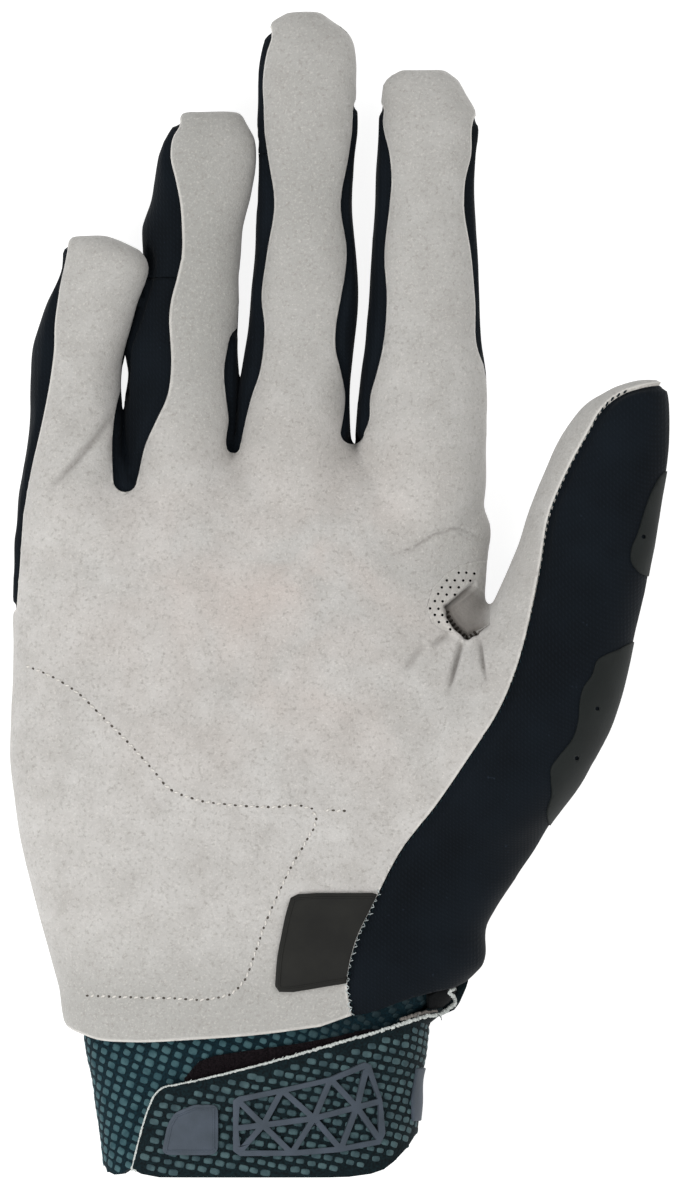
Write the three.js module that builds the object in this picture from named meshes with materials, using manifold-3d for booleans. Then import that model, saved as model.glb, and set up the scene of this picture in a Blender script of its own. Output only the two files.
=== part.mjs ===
// Off-road motorcycle glove for the right hand, lying on its back with the palm up.
// +X points to the thumb, +Y to the fingertips and +Z up out of the palm. Millimetres.
// The glove is one hollow hand-shaped form. Each cloth or suede panel is the stretch of its wall
// that lies inside that panel's outline, seen from above, as the pattern pieces of a glove are.
import * as THREE from 'three';
import { mergeVertices } from 'three/addons/utils/BufferGeometryUtils.js';
import Module from 'manifold-3d';

const wasm = await Module();
wasm.setup();

// Driving dimensions
const WALL = 1.6; // suede palm and stretch cloth, with their backing
const CUFF_WALL = 1.8; // knitted mesh laminate of the sleeve
const STRAP_THICKNESS = 1.8;
const LOOP_PILE = 1.0; // loop pad that the strap closes on
const PRINT_THICKNESS = 0.8; // rubber printed or moulded onto the cloth
const SEAM_GAP = 0.3; // clearance between neighbouring pieces
const SEAM_HEIGHT = 13; // where suede that wraps a side meets the back cloth
const WRIST_MID_HEIGHT = 19; // parts the palm side of the wrist from its back
const UPPER_PATCH_FOOT = 16; // how far down the thumb's side each print reaches
const LOWER_PATCH_FOOT = 12;
const SIDE_PRINT_FOOT = 10;
const ABOVE_ALL = 60; // higher than any point of the glove
const BELOW_ALL = -5;
const PAST_END = 2; // how far a cutter runs past the end that it opens
const THINNEST = 0.7; // least half-width of a ring, at a fingertip's inside
const FINGER_SIDES = 12; // points in one ring of a form
const THUMB_SIDES = 14;
const HAND_SIDES = 24;
const INSIDE_SHARE = 0.8; // share of those points on the inside of a wall
const FINGER_POWER = 2.15; // roundness of a ring: 2 is an ellipse, more is squarer
const HAND_POWER = 2.5;

// Tables: one row for each section, in columns named once
const table = (columns, rows) => rows.map((row) =>
  Object.fromEntries(columns.split(' ').map((name, i) => [name, row[i]])));

// y is the section's place along the hand; left, right, low and high are its four sides.
// A low side under zero is cloth that lies flattened on the surface.
const HAND = table('y left right low high', [
  [-97, -55.2, 16.8, 2, 37],
  [-92, -57, 17.6, 1.2, 37.6],
  [-87, -58.3, 20.4, 0, 38],
  [-83, -58.7, 25, -0.8, 38.2],
  [-78, -60, 30, -1.5, 38.2],
  [-70, -62.2, 30.4, -2, 38],
  [-52, -66.5, 42, -2, 36.8],
  [-42, -68.1, 45.5, -2, 36],
  [-32, -69, 43, -2, 35],
  [-22, -69, 38.5, -2, 33.8],
  [-3, -68.5, 31, -2, 31.4],
  [6, -68.1, 30.6, -1.8, 29.8],
  [15, -67.2, 30.2, -1.4, 28],
  [22, -63, 28, -0.4, 25.4],
  [27, -54, 26, 2, 21.5],
  [30.5, -40, 22, 7, 15],
]);

// seamL and seamR are where the suede front of a finger ends and the dark side cloth begins
const FINGER_COLUMNS = 'y left right low high seamL seamR';
const LITTLE = table(FINGER_COLUMNS, [
  [5, -64, -44, 2, 24],
  [16.5, -67.5, -43.8, -0.8, 27],
  [26.5, -66, -44.6, 0, 25.5, -64.8, -47.5],
  [36.5, -65, -45.4, 1, 23.5, -62.5, -47.2],
  [46.5, -64.7, -45.9, 2.5, 22.5, -60.6, -46.5],
  [56.5, -62.9, -43.6, 5, 23.2, -59.9, -43.7],
  [61.5, -61.2, -42.6, 7, 24.5, -59.2, -42.5],
  [65.5, -59.2, -41.2, 8.8, 25.8, -58, -40.9],
  [69.5, -58.1, -40.5, 10.5, 26.8, -57.2, -40.2],
  [72, -58, -42.2, 12, 27, -57.1, -42],
  [74.2, -57, -46, 14.5, 26, -56.2, -45.9],
  [75.4, -55, -49, 17.5, 23.5, -54.6, -49.2],
]);
const RING = table(FINGER_COLUMNS, [
  [6, -45, -21, -1, 28.5],
  [21.5, -45, -21.4, -0.8, 27.3],
  [31.5, -45.2, -21.9, 0, 25.5, -40.8, -24],
  [41.5, -44.6, -21.5, 0.8, 23.5, -36.2, -24],
  [51.5, -44.2, -21.5, 1.7, 22.3, -35.4, -23.2],
  [56.5, -42.8, -21.3, 2.2, 22, -35.8, -21.8],
  [61.5, -41.9, -21.1, 2.8, 22, -35.4, -21.2],
  [71.5, -40.9, -20.6, 4, 22, -33.1, -20.6],
  [77, -41, -20.4, 4.6, 22, -33.1, -20.3],
  [87, -38.7, -18.4, 6, 22.6, -34.5, -18.2],
  [92, -37.9, -17.8, 7, 22.8, -35.6, -17.5],
  [96, -36.2, -17.9, 8.2, 22.5, -35, -17.6],
  [98.8, -34, -19.5, 10, 21.5, -33.3, -19.3],
  [100.8, -31.8, -20.8, 12.5, 19.5, -31.2, -20.8],
]);
const MIDDLE = table(FINGER_COLUMNS, [
  [6, -22.5, 6, -1, 29],
  [21.5, -22.6, 4.4, -0.8, 27.8],
  [31.5, -22.2, 3, 0, 26],
  [36.5, -21.7, 1.8, 0.3, 25, -19.9, 0.7],
  [46.5, -20.7, 2.2, 1, 23.2, -16.9, 0.3],
  [56.5, -19, 3.4, 1.6, 22.4, -15.9, -0.9],
  [71.5, -17.7, 3.2, 2.7, 22, -15.4, 1.4],
  [82, -17, 2.4, 3.5, 21.8, -13.8, 0.3],
  [92, -16.8, 3, 4.4, 22, -15.2, 1.6],
  [107, -17.1, 3.4, 6, 22.2, -16.3, 3],
  [113.5, -16.2, 3, 7.2, 21.5, -15.5, 2.8],
  [117.5, -15.2, 1.4, 9, 20.5, -14.4, 1.3],
  [120.2, -13.6, -1.8, 11, 19, -12.9, -1.9],
  [121.8, -10.2, -4.2, 13, 17.5, -10, -4.4],
]);
const INDEX = table(FINGER_COLUMNS, [
  [6, 5, 27, 2, 25],
  [21.5, 4, 30.7, -0.8, 27.3],
  [31.5, 2.8, 30.6, 0, 25.5],
  [36.5, 3.9, 30.8, 0.3, 24.5, 6, 33],
  [46.5, 4.7, 30.9, 0.9, 22.8, 7.7, 31.4],
  [51.5, 5.4, 29.9, 1.2, 22.3, 8.9, 28.9],
  [61.5, 6.4, 29.3, 1.8, 21.8, 9.8, 28.2],
  [71.5, 7, 28.7, 2.4, 21.6, 9.3, 27.3],
  [82, 7.5, 28.2, 3.1, 21.5, 10.4, 25.9],
  [92, 7.7, 28.5, 4, 21.7, 10.4, 27.6],
  [99.5, 8.1, 28.7, 5, 21.5, 8.9, 28],
  [104.5, 8.8, 26.8, 6.3, 20.5, 9.2, 26.5],
  [108, 10.5, 24.2, 8.3, 19, 10.8, 24.1],
  [110, 13.2, 21.2, 10.5, 17, 13.3, 21.2],
]);
const THUMB = table('y left right low high', [
  [-60, 4, 30, 8, 31],
  [-50, 6, 42.3, 5.5, 36.5],
  [-40, 10, 50.3, 3.5, 39.5],
  [-30, 15, 55.4, 3.5, 40.5],
  [-20, 21.5, 59, 5, 39.8],
  [-10, 27, 61.5, 7, 38.4],
  [6.5, 35.7, 65.2, 10, 36],
  [16.5, 39.6, 66.9, 11, 35],
  [26.5, 43.6, 68.5, 12, 34],
  [36.5, 49.2, 69, 13.2, 33],
  [40.5, 52.8, 68.8, 14.5, 32],
  [43.2, 57.5, 68.2, 16.5, 30.5],
  [44.8, 61.5, 67, 19.5, 27.5],
]);
const CUFF = table('y left right low high', [
  [-79, -54.2, 20.4, 4.4, 35],
  [-83.5, -54.2, 22, 4, 35.2],
  [-86, -54, 19, 3.9, 35.3],
  [-92, -53.7, 15.4, 3.7, 35],
  [-97, -53, 14.8, 3.9, 34.9],
  [-107, -51.3, 13.4, 3.6, 33.6],
  [-117, -49.9, 12.2, 3.6, 32.6],
  [-122.4, -49.3, 11.8, 3.6, 32.4],
]);

// Where the fingers part: x and y of the foot of each dark notch, and its half-width
const NOTCHES = table('x y half', [
  [-45, 22.2, 2.4],
  [-22.2, 30.2, 0.9],
  [2.7, 32.6, 1.5],
]);

// A strip between two fingers starts before its notch and ends before the shorter fingertip.
// share runs from 0 at its start to 1 at its end; low is its lower seam, which climbs with the
// curl of the fingers.
const STRIP_START = 6;
const STRIP_SHORT_OF_TIP = 9;
const STRIP_SEAM = table('share low', [[0, 5], [0.25, 5.5], [0.6, 7.5], [1, 10.5]]);

// Suede edge that wraps the heel of the hand and reaches the little finger
const PALM_SIDE = table('x y', [[-72, -86], [-72, -8], [-68, -3], [-67.3, 6], [-66.6, 16.5]]);
// Suede edge round the web, from the index finger to the thumb's tip
const WEB_EDGE = table('x y', [[33, 6], [33.5, 8], [48, 40], [60, 48], [66.5, 48]]);
// Suede edge from the thumb's tip, along its side and down to the wrist
const THUMB_SEAM = table('x y', [
  [66.2, 44], [63, 43], [58.1, 41.5], [53.4, 36.5], [47.8, 26.5], [43.6, 16.5], [41.9, 6.5],
  [40, -3.5], [37.4, -14], [33.4, -24], [27.1, -34], [20.3, -44], [12.7, -54], [7.5, -64],
  [3, -74], [1.6, -82], [2.6, -88.3],
]);
const PALM_HEM = table('x y', [
  [-4, -90.6], [-16, -92.2], [-30, -93.3], [-44, -93.9], [-51, -93.4], [-56, -91.6], [-62, -88],
]);
// The back cloth's hem at the wrist, and a frame round the rest of the hand
const BACK_AREA = table('x y', [
  [-72, -92.5], [-20, -92.5], [2.4, -88.7], [10, -87.6], [18, -85.6], [28, -83.2], [75, -83.2],
  [75, 130], [-72, 130],
]);
const THUMB_GUSSET = table('x y', [
  [19, -2], [20.3, 1], [22.6, 3.2], [25.7, 5], [29.5, 6.2], [33.4, 6.2], [32.2, 1.5],
  [31, -3], [30.6, -8.6], [27.5, -8.8], [24.5, -8], [21.7, -6.2], [19.8, -4.2],
]);
const PALM_LABEL = table('x y', [
  [-8.4, -62.6], [-10.4, -64], [-11.9, -68], [-13.1, -76], [-13.3, -81.4], [-12.4, -83.2],
  [-10.6, -83.6], [2, -81.3], [12, -80], [12, -62.6],
]);
const THUMB_PATCH_UPPER = table('x y', [
  [72, 27], [67.6, 25.2], [65.6, 22], [64.2, 18.4], [62.3, 12.4], [61.1, 9.4], [61.1, 6.6],
  [62.3, 4.9], [72, 3.6],
]);
const THUMB_PATCH_LOWER = table('x y', [
  [72, -10], [60.6, -10.4], [58.4, -11.6], [55.5, -12.8], [54, -13.8], [52.8, -17], [51.1, -19.4],
  [50.2, -23], [50, -26.2], [48.8, -30.2], [46, -33.8], [44.2, -36.6], [44.2, -39], [44.4, -41.9],
  [43.4, -45.8], [43.8, -48], [60, -48],
]);
// The sleeve's hem, which rises under the strap, and a frame round the rest of the sleeve
const CUFF_AREA = table('x y', [
  [-60, -121.6], [-44, -121.6], [-40, -120.2], [0, -119.6], [6, -118.3], [10, -115.6],
  [12.6, -112], [14.2, -107], [40, -104], [40, -80], [-60, -80],
]);
const STRAP_FRONT = table('x y', [
  [-43.6, -120.4], [-42.7, -116.8], [-41.3, -111.5], [-39.8, -107.3], [-38.4, -105], [-36.2, -103.6],
  [-27.2, -101.2], [-11.9, -97], [2.2, -92.8], [14.8, -89], [20, -87.3], [23.6, -85.8],
  [24.9, -84.4], [40, -84],
]);
// Behind the wrist the strap starts on the cuff and runs to the same outer edge
const STRAP_BACK = table('x y', [
  [-30, -121.6], [-30, -98.5], [4, -98.5], [12, -94], [18, -88.5], [24, -84.6], [40, -84],
]);
const STRAP_FOOT = table('x y', [
  [40, -102], [19, -106], [16.5, -109.5], [15.2, -113], [12.7, -116.8], [9.6, -119.3], [4.3, -121],
  [-2, -121.8],
]);
const STRAP_END = table('x y', [[-37.7, -121.8], [-41.5, -121.4]]);
const LOOP_PAD = table('x y', [
  [-32.5, -111], [-32.5, -101.5], [-29.5, -98], [-26, -96.7], [-18.8, -95.6], [-8.3, -94.1],
  [0, -92.6], [6, -91.2], [10, -91.4], [10, -111],
]);
const BADGE = table('x y', [
  [-34.5, -108.6], [-30.4, -106.9], [-26.4, -106.9], [-25.4, -107.8], [-25.4, -116.4],
  [-26.6, -117.5], [-36.2, -117.5], [-37.2, -116.6], [-36, -111],
]);
const SIDE_PRINT = table('x y', [
  [16.4, -99.6], [40, -99], [40, -110.6], [15.6, -110.6], [15.4, -106],
]);

// The strap's rubber lattice: its outer edge, and the corners where its bars meet
const LATTICE_BAR = 1.5;
const LATTICE_EDGE = table('x y', [
  [-22.3, -106], [-21, -105.2], [-12, -103.4], [-2, -101.2], [5.4, -98], [6.6, -98.6],
  [9, -106], [9.7, -113], [8.6, -115.3], [0, -116.9], [-9, -117.6], [-20.8, -117.7], [-22.3, -116.6],
]);
const LATTICE_TOP = table('x y', [[-21.4, -105.9], [-12, -103.9], [-1.8, -101.6], [5.9, -98.6]]);
const LATTICE_MIDDLE = table('x y', [
  [-21.8, -111.9], [-16, -111.2], [-5.3, -109.8], [3.7, -107.5], [8.9, -106.2],
]);
const LATTICE_FOOT = table('x y', [[-21.2, -117.1], [-10, -117.1], [0.3, -116.3], [8.8, -114.7]]);

// A closed three.js geometry as a solid that can be joined and cut
function solidFrom(geometry) {
  const bare = new THREE.BufferGeometry().setAttribute('position', geometry.attributes.position);
  if (geometry.index) bare.setIndex(geometry.index);
  const merged = mergeVertices(bare, 1e-4);
  return new wasm.Manifold(new wasm.Mesh({
    numProp: 3,
    vertProperties: Float32Array.from(merged.attributes.position.array),
    triVerts: Uint32Array.from(merged.index.array),
  }));
}

// One ring of a form. A negative grow gives the inside of a wall, which stays a wall's
// thickness above the surface the glove lies on.
function ringAt(row, grow, fullSides, power) {
  const sides = grow < 0 ? Math.round(fullSides * INSIDE_SHARE) : fullSides;
  const halfWidth = Math.max((row.right - row.left) / 2 + grow, THINNEST);
  const halfHeight = Math.max((row.high - row.low) / 2 + grow, THINNEST);
  const round = (s) => Math.sign(s) * Math.abs(s) ** (2 / power);
  return Array.from({ length: sides }, (_, i) => {
    const angle = (i / sides) * 2 * Math.PI;
    const z = (row.low + row.high) / 2 + halfHeight * round(Math.sin(angle));
    return new THREE.Vector3(
      (row.left + row.right) / 2 + halfWidth * round(Math.cos(angle)),
      row.y,
      Math.max(z, Math.max(-grow, 0)),
    );
  });
}

// Rings joined one to the next and closed by a fan at each end
function loftThrough(rings) {
  const sides = rings[0].length;
  const middle = (ring) => ring.reduce((sum, p) => sum.add(p), new THREE.Vector3()).divideScalar(sides);
  const points = [...rings.flat(), middle(rings[0]), middle(rings.at(-1))];
  const first = rings.length * sides;
  const faces = [];
  for (let i = 0; i < sides; i++) {
    const next = (i + 1) % sides;
    for (let row = 0; row < rings.length - 1; row++) {
      const a = row * sides;
      const b = a + sides;
      faces.push(a + i, b + i, a + next, a + next, b + i, b + next);
    }
    const last = (rings.length - 1) * sides;
    faces.push(first, i, next, first + 1, last + next, last + i);
  }
  const geometry = new THREE.BufferGeometry().setFromPoints(points);
  geometry.setIndex(faces);
  return solidFrom(geometry);
}

// A form grown or shrunk all round. closedTip also moves its last ring by the same amount.
function form(rows, { grow, sides, power, closedTip }) {
  const base = rows[0].y;
  const length = rows.at(-1).y - base;
  const stretch = closedTip ? (length + grow) / length : 1;
  const placed = rows.map((row) => ({ ...row, y: base + (row.y - base) * stretch }));
  return loftThrough(placed.map((row) => ringAt(row, grow, sides, power)));
}

const joined = (solids) => solids.reduce((all, one) => all.add(one));

function handForm(grow) {
  const fingers = [LITTLE, RING, MIDDLE, INDEX].map((rows) =>
    form(rows, { grow, sides: FINGER_SIDES, power: FINGER_POWER, closedTip: true }));
  const thumb = form(THUMB, { grow, sides: THUMB_SIDES, power: FINGER_POWER, closedTip: true });
  const hand = form(HAND, { grow, sides: HAND_SIDES, power: HAND_POWER, closedTip: false });
  return joined([hand, thumb, ...fingers]);
}

function cuffForm(grow) {
  return form([...CUFF].reverse(), { grow, sides: HAND_SIDES, power: HAND_POWER, closedTip: false });
}

// The space over an outline, between two heights
function blockOver(outline, low = SEAM_HEIGHT, high = ABOVE_ALL, holes = []) {
  const points = outline.map(({ x, y }) => new THREE.Vector2(x, y));
  if (THREE.ShapeUtils.isClockWise(points)) points.reverse();
  const shape = new THREE.Shape(points);
  shape.holes = holes.map((hole) => new THREE.Path(hole.map(({ x, y }) => new THREE.Vector2(x, y))));
  const settings = { depth: high - low, bevelEnabled: false, curveSegments: 1 };
  return solidFrom(new THREE.ExtrudeGeometry(shape, settings).translate(0, 0, low));
}

// An outline moved outwards by a distance, corner by corner
function widened(outline, distance) {
  const points = outline.map(({ x, y }) => new THREE.Vector2(x, y));
  const outwards = THREE.ShapeUtils.area(points) > 0 ? 1 : -1;
  return points.map((point, i) => {
    const before = points.at(i - 1);
    const after = points[(i + 1) % points.length];
    const along = after.clone().sub(before).normalize();
    return { x: point.x + along.y * distance * outwards, y: point.y - along.x * distance * outwards };
  });
}

// Suede front of the whole hand: up and down each finger, round the notches between them,
// across the web to the thumb's tip, down the thumb's side and along the wrist
function palmOutline() {
  const outline = [...PALM_SIDE];
  [LITTLE, RING, MIDDLE, INDEX].forEach((finger, order) => {
    const seams = finger.filter((row) => row.seamL !== undefined);
    outline.push(...seams.map((row) => ({ x: row.seamL, y: row.y })));
    outline.push(...seams.reverse().map((row) => ({ x: row.seamR, y: row.y })));
    const notch = NOTCHES[order];
    if (!notch) return;
    outline.push({ x: notch.x - notch.half, y: notch.y + notch.half });
    outline.push({ x: notch.x, y: notch.y });
    outline.push({ x: notch.x + notch.half, y: notch.y + notch.half });
  });
  return [...outline, ...WEB_EDGE, ...THUMB_SEAM, ...PALM_HEM];
}

// The space of a strip between two fingers: from the middle of one to the middle of the next,
// above its lower seam, and larger by spare at its edges
function stripSpace(one, next, notch, spare) {
  const middleOf = (finger, y) => {
    const row = finger.find((section) => section.y >= y);
    return (row.left + row.right) / 2;
  };
  const start = notch.y - STRIP_START;
  const end = Math.min(one.at(-1).y, next.at(-1).y) - STRIP_SHORT_OF_TIP;
  return loftThrough(STRIP_SEAM.map(({ share, low }) => {
    const y = start + (end - start) * share;
    const left = middleOf(one, y) - spare;
    const right = middleOf(next, y) + spare;
    const placed = y + spare * (2 * share - 1);
    return [[right, low - spare], [right, ABOVE_ALL], [left, ABOVE_ALL], [left, low - spare]].map(([x, z]) =>
      new THREE.Vector3(x, placed, z));
  }));
}

// The triangles between the lattice's bars: a row above its middle bar and a row below
function latticeHoles() {
  const [top, mid, foot] = [LATTICE_TOP, LATTICE_MIDDLE, LATTICE_FOOT];
  const cells = [[mid[0], top[0], mid[1]], [mid[0], foot[0], mid[1]]];
  for (let i = 0; i < 3; i++) {
    for (const chord of [top, foot]) {
      cells.push([chord[i], chord[i + 1], mid[i + 1]]);
      cells.push([mid[i + 1], chord[i + 1], mid[i + 2]]);
    }
  }
  return cells.map(insetTriangle);
}

// A triangle whose three sides have moved inwards by half a bar
function insetTriangle(corners) {
  const [a, b, c] = corners.map(({ x, y }) => new THREE.Vector2(x, y));
  const sides = [b.distanceTo(c), c.distanceTo(a), a.distanceTo(b)];
  const around = sides[0] + sides[1] + sides[2];
  const centre = a.clone().multiplyScalar(sides[0]).addScaledVector(b, sides[1])
    .addScaledVector(c, sides[2]).divideScalar(around);
  const inRadius = (2 * Math.abs(THREE.ShapeUtils.area([a, b, c]))) / around;
  const shrink = 1 - LATTICE_BAR / 2 / inRadius;
  return [a, b, c].map((corner) => corner.lerp(centre, 1 - shrink));
}

// Keeps the panel itself and drops the slivers that a cut leaves
const largest = (solid) => solid.decompose().reduce((best, one) =>
  (one.volume() > best.volume() ? one : best));

const model = new THREE.Group();
const colours = {
  suede: new THREE.MeshStandardMaterial({ color: 0xbdb8b1, roughness: 0.95, metalness: 0 }),
  perforatedSuede: new THREE.MeshStandardMaterial({ color: 0xa39f98, roughness: 0.95, metalness: 0 }),
  stretchCloth: new THREE.MeshStandardMaterial({ color: 0x18222c, roughness: 0.85, metalness: 0 }),
  meshKnit: new THREE.MeshStandardMaterial({ color: 0x1f4450, roughness: 0.8, metalness: 0 }),
  strapKnit: new THREE.MeshStandardMaterial({ color: 0x1b3138, roughness: 0.8, metalness: 0 }),
  loopPile: new THREE.MeshStandardMaterial({ color: 0x1b151a, roughness: 1, metalness: 0 }),
  greyRubber: new THREE.MeshStandardMaterial({ color: 0x505a66, roughness: 0.6, metalness: 0 }),
  darkRubber: new THREE.MeshStandardMaterial({ color: 0x2b2c29, roughness: 0.6, metalness: 0 }),
  charcoalPrint: new THREE.MeshStandardMaterial({ color: 0x2f3436, roughness: 0.65, metalness: 0 }),
};

function addPiece(name, solid, material) {
  const { vertProperties, triVerts } = largest(solid).getMesh();
  const geometry = new THREE.BufferGeometry();
  geometry.setAttribute('position', new THREE.BufferAttribute(vertProperties, 3));
  geometry.setIndex(new THREE.BufferAttribute(triVerts, 1));
  const mesh = new THREE.Mesh(geometry, material);
  mesh.name = name;
  model.add(mesh);
}

// A skin that lies over a form, from one height above it to another
const layer = (formOf, low, high) => formOf(high).subtract(formOf(low));

// The inside of a form, carried past its ends: both of them, or the first alone
function bore(rows, wall, bothEnds) {
  const rings = rows.map((row) => ringAt(row, -wall, HAND_SIDES, HAND_POWER));
  const moved = (ring, step) => ring.map((point) => point.clone().setY(point.y + step));
  const beyond = bothEnds ? [moved(rings.at(-1), PAST_END)] : [];
  return loftThrough([moved(rings[0], -PAST_END), ...rings, ...beyond]);
}

// The hollow hand, open at the wrist
const handWall = layer(handForm, -WALL, 0).subtract(bore(HAND.slice(0, 2), WALL, false));

function addGlovePanels() {
  const palmClear = blockOver(widened(palmOutline(), SEAM_GAP), SEAM_HEIGHT - SEAM_GAP);
  const webClear = blockOver(widened(THUMB_GUSSET, SEAM_GAP), SEAM_HEIGHT - SEAM_GAP);
  addPiece('palm_panel', handWall.intersect(blockOver(palmOutline())).subtract(webClear), colours.suede);
  addPiece('thumb_gusset', handWall.intersect(blockOver(THUMB_GUSSET)), colours.perforatedSuede);

  const cloth = handWall.subtract(palmClear).subtract(webClear);
  const strips = [
    ['little_ring', LITTLE, RING],
    ['ring_middle', RING, MIDDLE],
    ['middle_index', MIDDLE, INDEX],
  ];
  let back = cloth.intersect(blockOver(BACK_AREA, BELOW_ALL));
  strips.forEach(([name, one, next], i) => {
    const strip = cloth.intersect(stripSpace(one, next, NOTCHES[i], 0));
    addPiece(`side_strip_${name}`, strip, colours.stretchCloth);
    back = back.subtract(stripSpace(one, next, NOTCHES[i], SEAM_GAP));
  });
  addPiece('back_panel', back, colours.stretchCloth);
}

function addPrints() {
  const print = layer(handForm, SEAM_GAP, SEAM_GAP + PRINT_THICKNESS);
  const label = blockOver(PALM_LABEL).intersect(blockOver(widened(palmOutline(), -SEAM_GAP)));
  const upper = blockOver(THUMB_PATCH_UPPER, UPPER_PATCH_FOOT);
  const lower = blockOver(THUMB_PATCH_LOWER, LOWER_PATCH_FOOT);
  addPiece('palm_label', print.intersect(label), colours.darkRubber);
  addPiece('thumb_patch_upper', print.intersect(upper), colours.charcoalPrint);
  addPiece('thumb_patch_lower', print.intersect(lower), colours.charcoalPrint);
}

function addWrist() {
  const sleeve = cuffForm(0).subtract(bore([...CUFF].reverse(), CUFF_WALL, true));
  addPiece('cuff', sleeve.intersect(blockOver(CUFF_AREA, BELOW_ALL)), colours.meshKnit);

  const padLow = SEAM_GAP;
  const padHigh = padLow + LOOP_PILE;
  const pad = layer(cuffForm, padLow, padHigh).intersect(blockOver(LOOP_PAD, WRIST_MID_HEIGHT));
  addPiece('loop_pad', pad, colours.loopPile);

  const strapLow = padHigh + SEAM_GAP;
  const strapHigh = strapLow + STRAP_THICKNESS;
  const front = blockOver([...STRAP_FRONT, ...STRAP_FOOT, ...STRAP_END], WRIST_MID_HEIGHT);
  const back = blockOver([...STRAP_BACK, ...STRAP_FOOT], BELOW_ALL, WRIST_MID_HEIGHT);
  addPiece('wrist_strap', layer(cuffForm, strapLow, strapHigh).intersect(front.add(back)), colours.strapKnit);

  const printLow = strapHigh + SEAM_GAP;
  const print = layer(cuffForm, printLow, printLow + PRINT_THICKNESS);
  const lattice = blockOver(LATTICE_EDGE, WRIST_MID_HEIGHT, ABOVE_ALL, latticeHoles());
  addPiece('strap_lattice', print.intersect(lattice), colours.greyRubber);
  addPiece('strap_badge', print.intersect(blockOver(BADGE, WRIST_MID_HEIGHT)), colours.greyRubber);
  addPiece('strap_side_print', print.intersect(blockOver(SIDE_PRINT, SIDE_PRINT_FOOT)), colours.greyRubber);
}

addGlovePanels();
addPrints();
addWrist();

export default model;
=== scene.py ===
# Off-road motorcycle glove for the right hand, lying on its back with the palm up.
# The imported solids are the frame, in metres: +X to the thumb, +Y to the fingertips and +Z up
# out of the palm. The tables below repeat the part's own measures, in millimetres.
import math
import random
from contextlib import contextmanager

import bmesh
import bpy
import numpy as np
from mathutils import Matrix, Vector, noise
from mathutils.bvhtree import BVHTree
from mathutils.kdtree import KDTree


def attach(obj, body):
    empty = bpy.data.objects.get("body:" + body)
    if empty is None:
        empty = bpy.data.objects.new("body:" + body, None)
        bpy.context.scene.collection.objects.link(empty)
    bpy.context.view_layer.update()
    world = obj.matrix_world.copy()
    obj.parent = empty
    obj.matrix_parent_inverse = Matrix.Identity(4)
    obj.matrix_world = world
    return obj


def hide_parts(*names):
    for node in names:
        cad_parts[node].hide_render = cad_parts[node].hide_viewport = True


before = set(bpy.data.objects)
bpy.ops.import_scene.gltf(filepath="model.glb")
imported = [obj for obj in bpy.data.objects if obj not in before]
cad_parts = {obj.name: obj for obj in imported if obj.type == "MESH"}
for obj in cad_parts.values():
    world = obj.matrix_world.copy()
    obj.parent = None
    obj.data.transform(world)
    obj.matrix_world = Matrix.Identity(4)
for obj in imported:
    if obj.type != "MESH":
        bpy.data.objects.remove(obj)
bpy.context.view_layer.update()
MM = 0.001

# The hand's form
# Under every panel is one hand-shaped form, as the wooden or metal hand a glove is pressed on.
# It is lofted through measured sections, a tube for the hand, each finger and the thumb, and
# the tubes are then fused and softened where they meet.
# Columns: y, left, right, low, high. A low side under zero is cloth flattened where it rests.
HAND = (
    (-97, -55.2, 16.8, 2, 37), (-92, -57, 17.6, 1.2, 37.6), (-87, -58.3, 20.4, 0, 38),
    (-83, -58.7, 25, -0.8, 38.2), (-78, -60, 30, -1.5, 38.2), (-70, -62.2, 30.4, -2, 38),
    (-62, -64.3, 35.3, -2, 37.5), (-52, -66.5, 42, -2, 36.8), (-42, -68.1, 45.5, -2, 36),
    (-32, -69, 43, -2, 35), (-22, -69, 38.5, -2, 33.8), (-12, -68.6, 34.2, -2, 32.6),
    (-3, -68.5, 30.9, -2, 31.4), (6, -68.1, 31.1, -1.8, 29.8), (15, -67.2, 31.9, -1.4, 28),
    (22, -63, 28, -0.4, 25.4), (27, -54, 26, 2, 21.5), (30.5, -40, 22, 7, 15),
)
THUMB = (
    (-60, 4, 30, 8, 31), (-50, 6, 42.3, 5.5, 36.5), (-40, 10, 50.3, 3.5, 39.5),
    (-30, 15, 55.4, 3.5, 40.5), (-20, 21.5, 59, 5, 39.8), (-10, 27.6, 61.5, 7, 38.4),
    (0, 33.1, 63.9, 8.8, 36.8), (6.5, 36, 65.2, 10, 36), (16.5, 39.6, 66.9, 11, 35),
    (26.5, 43.6, 68.5, 12, 34), (36.5, 49.2, 69, 13.2, 33), (40.5, 52.8, 68.8, 14.5, 32),
    (43.2, 57.8, 68.5, 16.5, 30.5), (44.9, 62.9, 67.8, 19.5, 27.5),
)
# The fingers' last two columns are the left and right edges of their suede fronts.
LITTLE = (
    (5, -64, -44, 2, 24), (16.5, -67.5, -43.8, -0.8, 27), (26.5, -66, -44.6, 0, 25.5, -64.8, -47.5),
    (36.5, -65, -45.4, 1, 23.5, -62.5, -47.2), (46.5, -64.7, -45.8, 2.5, 22.5, -60.6, -45),
    (51.5, -64.4, -44.8, 3.5, 22.5, -60, -44.5), (56.5, -62.9, -43.3, 5, 23.2, -59.9, -43.1),
    (61.5, -61.2, -42.2, 7, 24.5, -59.3, -41.8), (65.5, -59.2, -40.9, 8.8, 25.8, -58.7, -40.3),
    (69.5, -58.1, -40.4, 10.5, 26.8, -57.8, -39.5), (72, -58.3, -42, 12, 27, -57.3, -40.4),
    (74.2, -57.7, -46.3, 14.5, 26, -57, -43.2), (75.4, -56, -49.4, 17.5, 23.5, -56.4, -45.6),
)
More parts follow.
